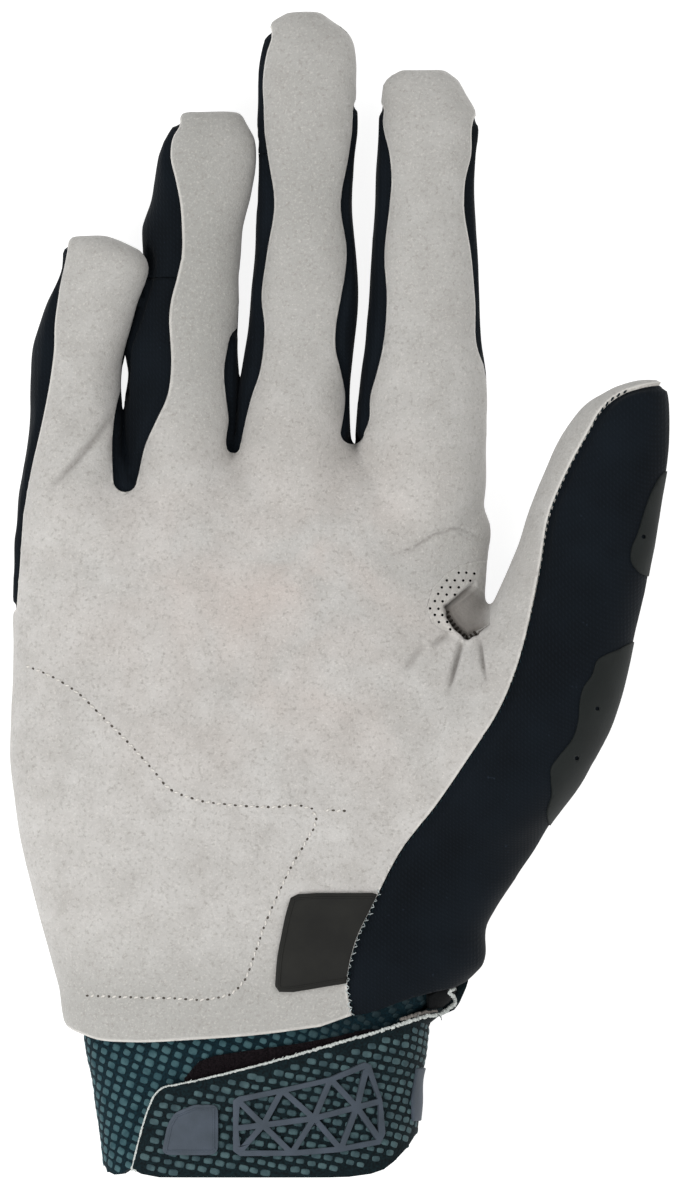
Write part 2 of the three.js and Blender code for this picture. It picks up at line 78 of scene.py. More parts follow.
RING = (
    (6, -45, -21, -1, 28.5), (21.5, -45, -21.4, -0.8, 27.3), (31.5, -45.4, -21.9, 0, 25.5, -40.8, -23.6),
    (36.5, -45.5, -21.5, 0.4, 24.5, -38.5, -23.1), (41.5, -45.1, -21.2, 0.8, 23.5, -36.2, -23.7),
    (46.5, -44.2, -21.1, 1.2, 22.8, -35.4, -24.1), (51.5, -45.2, -21.5, 1.7, 22.3, -35.4, -23.4),
    (54.2, -44.5, -21.4, 2, 22.1, -35.6, -22.7), (57, -43.7, -21.3, 2.2, 22, -35.8, -20.5),
    (61.5, -42.7, -21.1, 2.8, 22, -35.4, -19.9), (66.5, -41.3, -21.3, 3.4, 22, -34.1, -20),
    (71.5, -40.9, -20.8, 4, 22, -33.1, -19.5), (77, -41, -20.5, 4.6, 22, -33.1, -19.2),
    (82, -39.4, -19.2, 5.3, 22.3, -33.5, -17.9), (87, -38.7, -18.3, 6, 22.6, -34.5, -17),
    (92, -37.9, -17.6, 7, 22.8, -35.6, -16.3), (96, -36.4, -17.9, 8.2, 22.5, -35.1, -16.2),
    (98.8, -34.6, -19.4, 9, 21.5, -33.6, -17.6), (101.5, -32.8, -20.6, 10.5, 19.5, -34, -19.4),
)
MIDDLE = (
    (6, -22.5, 6, -1, 29), (21.5, -22.6, 4.4, -0.8, 27.8), (31.5, -22.2, 2.1, 0, 26),
    (36.5, -21.7, 1.8, 0.3, 25, -19.9, 0.9), (41.5, -21.5, 1.8, 0.6, 24, -18.6, 1.4),
    (46.5, -20.7, 2.2, 1, 23.2, -16.9, 0.5), (51.5, -19.8, 2.8, 1.3, 22.7, -16.1, -0.7),
    (56.5, -19, 3.4, 1.6, 22.4, -15.9, -0.6), (61.5, -18.6, 3.7, 2, 22.2, -16.5, 0.3),
    (71.5, -17.7, 3.2, 2.7, 22, -15.4, 1.7), (82, -17.2, 2.7, 3.5, 21.8, -13.8, 0.4),
    (92, -17.1, 3.3, 4.4, 22, -15.2, 2.1), (97, -17.4, 4.1, 4.9, 22.2, -15.9, 2.8),
    (102.6, -17.3, 3.9, 5.5, 22.2, -16.1, 3.2), (107, -17.2, 3.6, 6, 22.2, -16.3, 4.8),
    (113.5, -16.3, 3.3, 7.2, 21.5, -15.5, 4.5), (117.5, -15.3, 2.1, 9, 20.5, -14.4, 3.3),
    (119, -14.8, 0.4, 9.5, 19.8, -14.6, 1.6), (120.2, -14.2, -1.5, 10, 19, -15.6, 0.2),
    (122.2, -10.6, -4.2, 11.3, 17.5, -14, -1.5),
)
INDEX = (
    (6, 5, 27, 2, 25), (21.5, 4, 30.7, -0.8, 27.3), (31.5, 3.5, 30.6, 0, 25.5),
    (36.5, 3.9, 30.8, 0.3, 24.5, 6, 33), (41.5, 4.3, 31, 0.6, 23.5, 6.3, 32.8),
    (46.5, 4.7, 30.9, 0.9, 22.8, 7.7, 31.2), (51.5, 5.4, 29.9, 1.2, 22.3, 8.9, 29.2),
    (61.5, 6.4, 29.3, 1.8, 21.8, 9.8, 28.7), (71.5, 7, 28.7, 2.4, 21.6, 9.3, 27.8),
    (82, 7.5, 28.2, 3.1, 21.5, 10.4, 26.3), (87, 7.6, 28.1, 3.5, 21.5, 10.8, 26.6),
    (92, 7.7, 28.5, 4, 21.7, 10.4, 27.8), (99.5, 8.1, 28.9, 5, 21.5, 8.9, 28.3),
    (102, 8.4, 28.3, 5.6, 21.1, 9.1, 29.4), (104.5, 8.7, 26.8, 6.3, 20.5, 7.7, 28.2),
    (108, 9.3, 25.1, 8.3, 19, 8.2, 26.3), (110.2, 13, 22, 10.5, 17, 11.8, 23.2),
)
FINGERS = (LITTLE, RING, MIDDLE, INDEX)
FINGER_POWER = 2.15  # 2 is an ellipse and more is squarer
HAND_POWER = 2.5
SECTION_STEP = 2.5  # between the sections of a finished tube
FORM_VOXEL = 1.0
FORM_SPARE = 0.2  # for what smoothing takes off again
SEAM_HEIGHT = 13.0  # where the palm's suede ends on the side of the hand


def curve_through(places, values, wanted):
    """A smooth curve through measured values, read at other places."""
    places = np.asarray(places, float)
    values = np.asarray(values, float)
    wanted = np.clip(wanted, places[0], places[-1])
    slopes = np.gradient(values, places, axis=0)
    cell = np.clip(np.searchsorted(places, wanted, side="right") - 1, 0, len(places) - 2)
    gap = places[cell + 1] - places[cell]
    t = (wanted - places[cell]) / gap
    if values.ndim > 1:
        t = t[:, None]
        gap = gap[:, None]
    start = values[cell] * (2 * t**3 - 3 * t**2 + 1) + slopes[cell] * gap * (t**3 - 2 * t**2 + t)
    end = values[cell + 1] * (3 * t**2 - 2 * t**3) + slopes[cell + 1] * gap * (t**3 - t**2)
    return start + end


def fine_sections(rows, step):
    """The rows of a table with smooth ones between them. A tip's own close rows are kept."""
    sides = np.array([row[:5] for row in rows], float)
    places = []
    for before, after in zip(sides[:-1, 0], sides[1:, 0]):
        count = max(1, round(abs(after - before) / step))
        places.extend(np.linspace(before, after, count, endpoint=False))
    places.append(sides[-1, 0])
    order = 1 if sides[-1, 0] > sides[0, 0] else -1
    return curve_through(sides[:, 0] * order, sides, np.array(places) * order)


def section_spot(row, angle, power, grow):
    """A point of a rounded-box section at an angle from its right side, grown all round."""
    y, left, right, low, high = row
    across, up = math.cos(angle), math.sin(angle)
    x = (left + right) / 2 + ((right - left) / 2 + grow) * math.copysign(abs(across) ** (2 / power), across)
    z = (low + high) / 2 + ((high - low) / 2 + grow) * math.copysign(abs(up) ** (2 / power), up)
    return Vector((x, y, max(z, 0.0))) * MM


def add_loft(bm, rows, sides, spots_of):
    """A closed solid through the rows: a ring of points for each, bridged to the last."""
    before = []
    for number, row in enumerate(rows):
        ring = bmesh.ops.create_circle(bm, segments=sides, radius=1)["verts"]
        edges = list({edge for vert in ring for edge in vert.link_edges})
        angles = [math.atan2(vert.co.y, vert.co.x) for vert in ring]
        for vert, spot in zip(ring, spots_of(row, angles)):
            vert.co = spot
        if number in (0, len(rows) - 1):
            bmesh.ops.contextual_create(bm, geom=edges)
        if before:
            bmesh.ops.bridge_loops(bm, edges=before + edges)
        before = edges


def add_tube(bm, rows, sides, power, grow=0.0):
    """A closed tube of rounded sections through the rows."""
    add_loft(bm, rows, sides, lambda row, angles: [section_spot(row, angle, power, grow) for angle in angles])


def new_object(name, data):
    made = bpy.data.objects.new(name, data)
    bpy.context.scene.collection.objects.link(made)
    return made


def object_from(bm, name):
    """Ends a bmesh as a named object whose place is in its mesh."""
    mesh = bpy.data.meshes.new(name)
    bm.to_mesh(mesh)
    bm.free()
    return new_object(name, mesh)


@contextmanager
def edited(mesh):
    """Opens a mesh for bmesh work, and puts the result back."""
    bm = bmesh.new()
    bm.from_mesh(mesh)
    yield bm
    bm.to_mesh(mesh)
    bm.free()


def shaped_by(made, kind, **settings):
    """Puts a modifier on an object and makes what it does part of the mesh."""
    change = made.modifiers.new(kind.lower(), kind)
    for name, value in settings.items():
        setattr(change, name, value)
    bpy.context.view_layer.update()
    shaped = made.evaluated_get(bpy.context.evaluated_depsgraph_get())
    old = made.data
    made.data = bpy.data.meshes.new_from_object(shaped)
    made.data.name = made.name
    made.modifiers.clear()
    bpy.data.meshes.remove(old)


def drop(*made):
    for each in made:
        bpy.data.objects.remove(each)


def places_of(mesh, kind="co"):
    """Each vertex's place, or its normal, in rows of three."""
    values = np.empty(len(mesh.vertices) * 3)
    mesh.vertices.foreach_get(kind, values)
    return values.reshape(-1, 3)


def push(made, distances, resting=False):
    """Moves each vertex along its normal, in mm. A resting piece doesn't pass the floor."""
    normals = places_of(made.data, "normal")
    spots = places_of(made.data) + normals * np.reshape(distances, (-1, 1)) * MM
    if resting:
        spots[:, 2] = np.maximum(spots[:, 2], 0)
    made.data.vertices.foreach_set("co", spots.ravel())
    made.data.update()


def smoothed(bm, verts, passes):
    for _ in range(passes):
        bmesh.ops.smooth_vert(
            bm, verts=verts, factor=0.5, use_axis_x=True, use_axis_y=True, use_axis_z=True
        )


def fused_tubes(name, *tubes):
    """Tubes run together into one soft skin."""
    bm = bmesh.new()
    for rows, sides, power in tubes:
        add_tube(bm, fine_sections(rows, SECTION_STEP), sides, power, FORM_SPARE)
    bmesh.ops.recalc_face_normals(bm, faces=bm.faces)
    made = object_from(bm, name)
    shaped_by(made, "REMESH", mode="VOXEL", voxel_size=FORM_VOXEL * MM)
    with edited(made.data) as bm:
        smoothed(bm, bm.verts, 4)
    return made


def cut(made, block, how):
    """Keeps the part of a solid inside a block, or outside it, or joins the two."""
    shaped_by(made, "BOOLEAN", operation=how, solver="MANIFOLD", object=block)
    drop(block)


# Soft stretches where one tube runs into the next: x, y, reach and passes of smoothing.
BLENDS = (
    (-56, 14, 16, 14), (-36, 20, 15, 14), (-10, 24, 16, 14), (18, 20, 18, 16),
    (18, -30, 22, 30), (24, -48, 20, 30), (28, -14, 14, 20), (40, -44, 16, 24),
)
# The web between thumb and index finger folds small, so its mesh is made finer, twice over.
WEB_MIDDLE = (25, -6)
WEB_REACHES = (14, 11)


def hand_form():
    """Neighbouring fingers are fused to the hand one after the other, so they stay apart."""
    hand = (HAND, 72, HAND_POWER)
    thumb = (THUMB, 40, FINGER_POWER)
    little, ring, middle, index = ((finger, 36, FINGER_POWER) for finger in FINGERS)
    made = fused_tubes("hand_form", hand, thumb, little, middle)
    cut(made, fused_tubes("ring_and_index", ring, index), "UNION")
    with edited(made.data) as bm:
        for x, y, reach, passes in BLENDS:
            centre = Vector((x, y)) * MM
            smoothed(bm, [v for v in bm.verts if (v.co.xy - centre).length < reach * MM], passes)
        centre = Vector(WEB_MIDDLE) * MM
        for reach in WEB_REACHES:
            upper = [v for v in bm.verts if v.co.z > SEAM_HEIGHT * MM]
            close = {v for v in upper if (v.co.xy - centre).length < reach * MM}
            edges = [e for e in bm.edges if e.verts[0] in close and e.verts[1] in close]
            bmesh.ops.subdivide_edges(bm, edges=edges, cuts=1, use_grid_fill=True)
    made.data.materials.clear()
    return made


form = hand_form()

# Folds of the palm side: width and depth in mm, then the fold's path. A fold fades at its ends.
FOLDS = (
    (0.6, 1.5, ((22.2, -2.0), (22.9, -4.6), (24.6, -7.0), (27.0, -9.0), (28.8, -7.6), (31.4, -6.0))),
    (0.45, 1.0, ((21.8, -3.0), (25.0, -0.7), (28.8, 2.4))),
    (0.55, 0.9, ((26.4, -8.6), (25.6, -10.4), (24.3, -14.9), (22.6, -20.6))),
    (0.5, 0.8, ((28.6, -7.6), (29.3, -9.2), (29.7, -13.4), (30.6, -18.6))),
    (0.8, 0.55, ((23.6, -7.8), (22.0, -9.0), (19.2, -10.9))),
    (1.1, 0.5, ((18.4, -10.2), (16.2, -12.6), (13.2, -16.8))),
    (1.0, 0.7, ((-61, 22), (-55, 28.2), (-49.7, 34.4), (-46.5, 39))),
    (1.7, 0.6, ((-62.5, 30), (-57.5, 36), (-53.5, 43))),
    (2.4, 0.45, ((-66, 18), (-60, 16), (-52, 8))),
    (3.2, 0.35, ((-38, 26), (-32, 17), (-28, 6))),
    (0.5, 0.6, ((9, 7.6), (15.6, 9.9), (19.9, 12.2), (24.1, 13.6), (28, 12.7), (31, 10))),
    (4.0, 0.45, ((6.5, 9.2), (14, 11.5), (24, 14.4))),
    (5.5, 0.3, ((-52, 5), (-41, 0), (-29, -8))),
    (4.6, 0.6, ((18.5, -12.5), (10, -21), (2, -29.5), (-8, -36))),
    (4.0, 0.45, ((-62, 45), (-54, 43.5), (-47, 45))),
    (4.4, 0.45, ((-42, 50), (-33, 48.5), (-23, 50))),
    (4.6, 0.5, ((-20, 62), (-8, 60.5), (3, 62))),
    (4.6, 0.45, ((6, 60), (17, 58.5), (29, 60))),
    (4.4, 0.45, ((-18, 88), (-8, 87), (2, 88))),
    (4.4, 0.4, ((8, 84), (18, 83), (28, 84))),
    (4.4, 0.4, ((-40, 76), (-30, 75), (-20, 76.5))),
)
CREASE_WIDTH = 1.2  # a fold narrower than this gets painted shade along its bottom
# The flat of the web that is tucked in under the pinch below the index finger.
FACET = (
    (22.4, -2.5), (28.2, 1.9), (31.4, -0.6), (31.4, -6.2), (28.7, -7.6), (27.0, -9.0), (24.7, -7.0),
    (23.0, -4.8),
)
FACET_DEPTH = 2.0
FACET_SLOPE = 2.4
# Where the suede is painted greyer, partly for handling and partly as painted shade: how much, then the
# middle and the reach along x and y.
WEAR_AND_SHADE_SPOTS = (
    (0.25, -7, 86, 8, 11), (0.25, -28, 66, 8, 24), (0.42, 27, 9, 11, 13), (0.22, 18, 5, 11, 10),
    (0.2, 28, -20, 14, 14),
)


def lengths_along(points):
    """How far along a path each of its points lies."""
    return np.concatenate(([0], np.cumsum(np.hypot(*np.diff(points, axis=0).T))))


def along_path(spots, path):
    """Each point's distance to a path, and how far along it that is, from 0 to 1."""
    path = np.array(path, float)
    reached = lengths_along(path)
    nearest = np.full(len(spots), 1e9)
    along = np.zeros(len(spots))
    for start, end, passed in zip(path[:-1], path[1:], reached):
        length = np.hypot(*(end - start))
        way = (end - start) / length
        t = np.clip((spots - start) @ way, 0, length)
        gap = np.hypot(*(spots - start - t[:, None] * way).T)
        closer = gap < nearest
        nearest[closer] = gap[closer]
        along[closer] = (passed + t[closer]) / reached[-1]
    return nearest, along


def fold_depth(spots, path, width, depth):
    """How far a fold sinks each point: a groove with low shoulders that fades at its ends."""
    nearest, along = along_path(spots, path)
    fade = np.clip(4 * along * (1 - along), 0, 1) ** 0.6
    groove = np.exp(-((nearest / width) ** 2))
    shoulder = 0.35 * np.exp(-(((nearest - 2.1 * width) / width) ** 2))
    return depth * fade * (groove - shoulder)


def inside(point, outline):
    """True if a point lies within an outline."""
    x, y = point
    hit = False
    for (ax, ay), (bx, by) in zip(outline, outline[1:] + outline[:1]):
        if (ay > y) != (by > y) and x < (bx - ax) * (y - ay) / (by - ay) + ax:
            hit = not hit
    return hit


def soft_spot(flat, x, y, reach_x, reach_y):
    """A patch that is 1 in its middle and fades out all round."""
    return np.exp(-(((flat[:, 0] - x) / reach_x) ** 2) - ((flat[:, 1] - y) / reach_y) ** 2)


def unevenness(spots, scale, shift, height):
    """Smooth random heights, the same on every run."""
    return np.array([noise.noise(Vector(spot) * scale + Vector(shift)) for spot in spots]) * height


def soften(form):
    """Presses the folds in and gives the cloth the slight unevenness of worn sewing."""
    spots = places_of(form.data)
    normals = places_of(form.data, "normal")
    flat = spots[:, :2] / MM
    upward = np.clip(normals[:, 2] * 1.6, 0, 1)
    sink = np.zeros(len(spots))
    crease_shade = np.zeros(len(spots))
    for width, depth, path in FOLDS:
        press = fold_depth(flat, path, width, depth) * upward
        sink += press
        if width < CREASE_WIDTH:
            crease_shade += press
    held = np.array([inside(spot, FACET) for spot in flat]) & (normals[:, 2] > 0)
    from_pinch, _ = along_path(flat, FACET[4:] + FACET[:1])
    tucked = np.where(held, FACET_DEPTH * np.exp(-from_pinch / FACET_SLOPE), 0)
    free = np.clip(spots[:, 2] / (3 * MM), 0, 1)
    uneven = unevenness(spots, 42, (0, 0, 0), 0.55) + unevenness(spots, 130, (3, 5, 7), 0.2)
    push(form, uneven * free - sink - tucked, resting=True)
    # Painted shade along the bottoms of the narrow folds, stored as the fold attribute.
    store(form.data, "fold", np.clip(crease_shade, 0, 3))
    # Painted shade in the tucked facet: darkest by the pinch and away from its open side.
    from_open, _ = along_path(flat, FACET[1:4])
    lit = np.clip(0.3 + from_open / 2.4, 0, 1)
    store(form.data, "tucked", held * np.clip(0.8 + 0.6 * np.exp(-from_pinch / 0.9), 0, 1) * lit)
    # The suede is painted greyer towards the fingertips, most of all on the ring finger, on the thumb's far
    # side,
    # along the hem and in a few spots: partly the grey of handling, partly painted shade where the light
    # falls off.
    x, y = flat.T
    handled = 0.5 * np.clip((y - 8) / 62, 0, 1) + 0.35 * np.clip((x - 32) / 8, 0, 1)
    handled += 0.75 * np.clip((-68 - y) / 18, 0, 1)
    for share, middle in ((0.45, -30), (0.15, -7)):
        handled += share * np.clip((y - 25) / 25, 0, 1) * np.exp(-(((x - middle) / 8) ** 2))
    for share, *place in WEAR_AND_SHADE_SPOTS:
        handled += share * soft_spot(flat, *place)
    store(form.data, "handled", np.clip(handled, 0, 1))
    store(form.data, "flushed", soft_spot(flat, -12, -2, 40, 34))


def store(mesh, name, values):
    """Keeps one number for each vertex, for a material to read."""
    if name in mesh.attributes:
        mesh.attributes.remove(mesh.attributes[name])
    kept = mesh.attributes.new(name, "FLOAT", "POINT")
    kept.data.foreach_set("value", np.asarray(values, np.float32))


soften(form)

# Palm suede
# The palm is one sheet of pale synthetic suede that wraps the heel of the hand, the fronts of
# the fingers and the inner side of the thumb. It is sewn down over the darker cloth, and its
# cut edge stands a little proud of it.

# Columns: x and y of the lowest point between two fingers, and half the width there.
NOTCHES = ((-45, 21.5, 2.4), (-22.3, 29.7, 1.2), (2.7, 31.6, 2.3))
PALM_SIDE = ((-72, -86), (-72, -8), (-68, -3), (-67.3, 6), (-66.6, 16.5))
WEB_EDGE = ((33, 6), (33.5, 8), (48, 40), (60, 48), (66.5, 48))
THUMB_SEAM = (
    (69.2, 44.7), (67.4, 44.5), (65.8, 44.35), (63.8, 44), (60.4, 43.1), (57, 41.2), (54.3, 38.3),
    (51.9, 34), (47.8, 26.5), (43.6, 16.5), (41.9, 6.5), (40, -3.5), (37.4, -14), (33.4, -24),
    (27.1, -34), (20.3, -44), (12.7, -54), (7.5, -64), (3, -74), (1.6, -82), (2.6, -88.3),
)
SEAM_OVER_TIP = 4  # points of the seam that lie over the thumb's tip
PALM_HEM = (
    (-4, -90.6), (-16, -92.2), (-30, -93.3), (-44, -93.9), (-51, -93.4), (-56, -91.6), (-62, -88),
)
THUMB_GUSSET = (
    (18.3, -3), (19.4, 1), (22, 3.9), (25.4, 6.1), (29.5, 7), (33.4, 7), (32.2, 1.5),
    (31.4, -3), (31.2, -6.4), (28.9, -7.9), (27, -9.1), (24.5, -8.2), (21.7, -7.6), (19.4, -6),
)
TIP_REACH = 2.5  # past each fingertip


def eased(points, step=1.0):
    """An open outline with its corners eased, on a smooth curve through its points."""
    points = np.array(points, float)
    lengths = lengths_along(points)
    wanted = np.linspace(0, lengths[-1], max(2, round(lengths[-1] / step)))
    return [tuple(spot) for spot in curve_through(lengths, points, wanted)]


def palm_outline():
    """The suede's outline: up the little finger's side, round each finger, down the thumb's seam."""
    outline = list(PALM_SIDE[:-1])
    run = [PALM_SIDE[-1]]
    for number, finger in enumerate(FINGERS):
        fronts = [row for row in finger if len(row) > 5]
        tip, *_, left, right = finger[-1]
        run += [(row[5], row[0]) for row in fronts]
        run += [(left, tip + TIP_REACH), (right, tip + TIP_REACH)]
        run += [(row[6], row[0]) for row in reversed(fronts)]
        if number < len(NOTCHES):
            x, y, half = NOTCHES[number]
            outline += eased(run + [(x - half, y + half)])
            for turn in np.linspace(1.1, 1.9, 9) * math.pi:
                outline.append((x + half * math.cos(turn), y + half * (1 + math.sin(turn))))
            run = [(x + half, y + half)]
    outline += eased(run)
    return outline + list(WEB_EDGE) + eased(THUMB_SEAM) + eased(PALM_HEM[:-1]) + [PALM_HEM[-1]]


def widened(outline, distance):
    """An outline moved outwards, point by point, or inwards by less than nothing."""
    points = np.array(outline, float)
    after = np.roll(points, -1, axis=0)
    turn = np.sign(np.sum(points[:, 0] * after[:, 1] - after[:, 0] * points[:, 1]))
    along = after - np.roll(points, 1, axis=0)
    along /= np.maximum(np.hypot(*along.T), 1e-9)[:, None]
    return [tuple(p) for p in points + np.stack((along[:, 1], -along[:, 0]), 1) * distance * turn]


marks = [bpy.data.materials.new(name) for name in ("skin", "cut face")]
for mark in marks:
    form.data.materials.append(mark)


def block_from(bm):
    """Ends a bmesh as a cutting block, with marks that tell the faces it cuts."""
    bmesh.ops.recalc_face_normals(bm, faces=bm.faces)
    for face in bm.faces:
        face.material_index = 1
    block = object_from(bm, "block")
    for mark in marks:
        block.data.materials.append(mark)
    return block


def block_over(outline, low=SEAM_HEIGHT, high=60.0, holes=()):
    """The space over an outline, from one height to another, less its holes."""
    bm = bmesh.new()
    for ring in (outline, *holes):
        corners = [bm.verts.new((x * MM, y * MM, low * MM)) for x, y in ring]
        for pair in zip(corners, corners[1:] + corners[:1]):
            bm.edges.new(pair)
    bmesh.ops.triangle_fill(bm, use_beauty=True, use_dissolve=False, edges=bm.edges)
    risen = bmesh.ops.extrude_face_region(bm, geom=bm.faces)["geom"]
    tops = [item for item in risen if isinstance(item, bmesh.types.BMVert)]
    bmesh.ops.translate(bm, verts=tops, vec=(0, 0, (high - low) * MM))
    return block_from(bm)


def copy_of(made, name):
    return new_object(name, made.data.copy())


def beam(rows):
    """A bar with a four-cornered section at each place along it: y, left, right, low and high."""
    def corners(row, _):
        y, left, right, low, high = row
        around = ((right, low), (right, high), (left, high), (left, low))
        return [Vector((x, y, z)) * MM for x, z in around]

    bm = bmesh.new()
    add_loft(bm, rows, 4, corners)
    return block_from(bm)


def open_skin(made):
    """Deletes the faces that cuts left, so only the outer skin stays, and tidies its edge."""
    with edited(made.data) as bm:
        bmesh.ops.delete(bm, geom=[f for f in bm.faces if f.material_index == 1], context="FACES")
        bmesh.ops.remove_doubles(bm, verts=bm.verts, dist=0.12 * MM)
        bmesh.ops.dissolve_degenerate(bm, dist=0.02 * MM, edges=bm.edges)
        keep_largest(bm)
    made.data.materials.clear()


def skin_in(made, *blocks):
    """Keeps the outer skin of a solid where it lies in every block."""
    for block in blocks:
        cut(made, block, "INTERSECT")
    open_skin(made)
    return made


def keep_largest(bm):
    """Drops every loose scrap but the largest piece."""
    left = set(bm.faces)
    groups = []
    while left:
        group = {left.pop()}
        edge = list(group)
        while edge:
            face = edge.pop()
            for loop in face.loops:
                for other in loop.edge.link_faces:
                    if other in left:
                        left.discard(other)
                        group.add(other)
                        edge.append(other)
        groups.append(group)
    biggest = max(groups, key=len)
    bmesh.ops.delete(bm, geom=[f for f in bm.faces if f not in biggest], context="FACES")


def rim_tree(mesh, but_near=()):
    """The open edge of a skin, to measure distances to, less what lies near an outline."""
    bm = bmesh.new()
    bm.from_mesh(mesh)
    spots = []
    for edge in bm.edges:
        if edge.is_boundary:
            spots += [edge.verts[0].co.copy(), (edge.verts[0].co + edge.verts[1].co) / 2]
    bm.free()
    if but_near:
        gaps, _ = along_path(np.array([spot[:2] for spot in spots]) / MM, but_near + but_near[:1])
        spots = [spot for spot, gap in zip(spots, gaps) if gap > 0.5]
    tree = KDTree(len(spots))
    for number, spot in enumerate(spots):
        tree.insert(spot, number)
    tree.balance()
    return tree


def sink_near(made, tree, level, reach, depth):
    """Lowers a skin near a rim: by the full depth within the level distance, easing to none."""
    away = np.array([tree.find(v.co)[2] for v in made.data.vertices]) / MM
    share = np.clip((reach - away) / (reach - level), 0, 1)
    push(made, -depth * share * share * (3 - 2 * share), resting=True)
    store(made.data, "rim", away)


def thicken(made, thickness, materials):
    """Gives a skin its thickness: outer face, inner face and cut edge take three materials."""
    for material in materials:
        made.data.materials.append(material)
    shaped_by(
        made, "SOLIDIFY", thickness=thickness * MM, offset=-1.0, use_even_offset=False,
        material_offset=1, material_offset_rim=2,
    )
    for polygon in made.data.polygons:
        polygon.use_smooth = polygon.material_index != 2


def linear(code):
    """An sRGB hex colour as the linear values that nodes take."""
    parts = [int(code[i:i + 2], 16) / 255 for i in (1, 3, 5)]
    return [c / 12.92 if c <= 0.04045 else ((c + 0.055) / 1.055) ** 2.4 for c in parts] + [1.0]


def new_material(name):
    """A material, its node tree and the object's own coordinates in it."""
    material = bpy.data.materials.new(name)
    material.use_nodes = True
    tree = material.node_tree
    return material, tree, add_node(tree, "TexCoord").outputs["Object"]


def add_node(tree, kind, settings=None, inputs=None):
    """Adds a node, sets its properties, and sets or links its inputs."""
    node = tree.nodes.new("ShaderNode" + kind)
    for name, value in (settings or {}).items():
        if name == "stops":
            while len(node.color_ramp.elements) < len(value):
                node.color_ramp.elements.new(0.5)
            for element, (place, tone) in zip(node.color_ramp.elements, value):
                element.position = place
                element.color = linear(tone) if isinstance(tone, str) else (tone, tone, tone, 1)
        else:
            setattr(node, name, value)
    for name, value in (inputs or {}).items():
        if isinstance(value, bpy.types.NodeSocket):
            tree.links.new(value, node.inputs[name])
        else:
            node.inputs[name].default_value = value
    return node


def speckle(tree, where, scale, stops, **more):
    """A pattern of random spots as colours, and the plain pattern for a bump."""
    spots = add_node(tree, "TexNoise", inputs={"Vector": where, "Scale": scale, **more}).outputs["Fac"]
    return add_node(tree, "ValToRGB", {"stops": stops}, {"Fac": spots}).outputs[0], spots


def finish(material, colour, values, bump=None):
    """Gives a material's shader its colour, its plain values, and a bump: height, strength, depth."""
    tree = material.node_tree
    shader = tree.nodes["Principled BSDF"]
    tree.links.new(colour, shader.inputs["Base Color"])
    for name, value in values.items():
        shader.inputs[name].default_value = value
    if bump:
        height, strength, depth = bump
        relief = add_node(tree, "Bump", inputs={"Strength": strength, "Distance": depth, "Height": height})
        tree.links.new(relief.outputs[0], shader.inputs["Normal"])
    return material


# A node that mixes colours takes the share at input 0 and the two colours at inputs 6 and 7.
OF_COLOURS = {"data_type": "RGBA"}


# Microfibre suede, split and brushed: a matt, short nap that mottles where it lies different
# ways, over fibres about 0.3 mm long. It is painted greyer towards the fingertips, the thumb and
# the hem, partly for handling and partly as painted shade, and painted shade darkens its narrow
# creases and the web's tucked facet. Its cut edge is paler than its face.
def suede_material(name, light, mid, dark, tint):
    material, tree, where = new_material(name)
    flushed, handled, fold, tucked, rim = (
        add_node(tree, "Attribute", {"attribute_name": kept}).outputs["Fac"]
        for kept in ("flushed", "handled", "fold", "tucked", "rim")
    )
    shade, _ = speckle(tree, where, 130, ((0.3, mid), (0.7, light)), Detail=6, Roughness=0.68)
    warmth, _ = speckle(tree, where, 48, ((0.38, 0.0), (0.66, 0.6)), Detail=3, Distortion=0.6)
    fleck, nap = speckle(tree, where, 1150, ((0.33, 0.55), (0.48, 0.0)), Detail=5, Roughness=0.7)
    glint, fibre = speckle(tree, where, 2100, ((0.53, 0.0), (0.7, 0.38)), Detail=4, Roughness=0.7)
    flush = add_node(tree, "Math", {"operation": "MULTIPLY"}, {0: warmth, 1: flushed})
    # Painted shade in the web's tucked facet, towards #6C6762.
    tucked_shade = add_node(tree, "Math", {"operation": "MULTIPLY"}, {0: tucked, 1: 0.95})
    # Painted shade: the bottoms of narrow folds darken towards #4A443F.
    crease_shade_range = {"Value": fold, "From Min": 0.15, "From Max": 1.2, "To Max": 0.9}
    deep = add_node(tree, "MapRange", inputs=crease_shade_range)
    by_rim = {"Value": rim, "From Min": 0.25, "From Max": 0.7, "To Min": 0.6, "To Max": 0.0}
    near = add_node(tree, "MapRange", inputs=by_rim)
    colour = shade
    # The handled share greys the suede for handling and as painted shade.
    for share, tone in (
        (flush.outputs[0], tint), (handled, "#9B9A96"), (fleck, dark), (glint, "#DEDAD4"),
        (deep.outputs[0], "#4A443F"), (tucked_shade.outputs[0], "#6C6762"), (near.outputs[0], "#DAD7D1"),
    ):
        mix = add_node(tree, "Mix", OF_COLOURS, {0: share, 6: colour, 7: linear(tone)})
        colour = mix.outputs[2]
    grain = add_node(tree, "Math", {"operation": "ADD"}, {0: nap, 1: fibre})
    values = {"Roughness": 0.95, "Sheen Weight": 0.2, "Sheen Roughness": 0.6, "Specular IOR Level": 0.2}
    return finish(material, colour, values, (grain.outputs[0], 0.6, 0.00025))


suede = suede_material("microfibre suede", "#BEBCB9", "#A9A6A2", "#88847E", "#BBAFA8")


def plain_cloth(name, colour, dark, scale_mm, roughness, strength):
    """Plain cloth, thread or pile in two tones, with fibres or tufts of one size."""
    material, tree, where = new_material(name)
    tone, fuzz = speckle(tree, where, 1 / (scale_mm * MM), ((0.35, dark), (0.65, colour)), Detail=4)
    values = {"Roughness": roughness, "Specular IOR Level": 0.12}
    return finish(material, tone, values, (fuzz, strength, 0.0003))


# Raw edge of the suede, where the pale core of the split shows.
suede_edge = plain_cloth("cut suede edge", "#DEDBD5", "#C4C0B9", 0.5, 0.95, 0.4)
# Brushed nylon lining, black, glimpsed inside the cuff and through the perforations.
lining = plain_cloth("brushed lining", "#1A1E23", "#0E1114", 0.4, 0.9, 0.4)


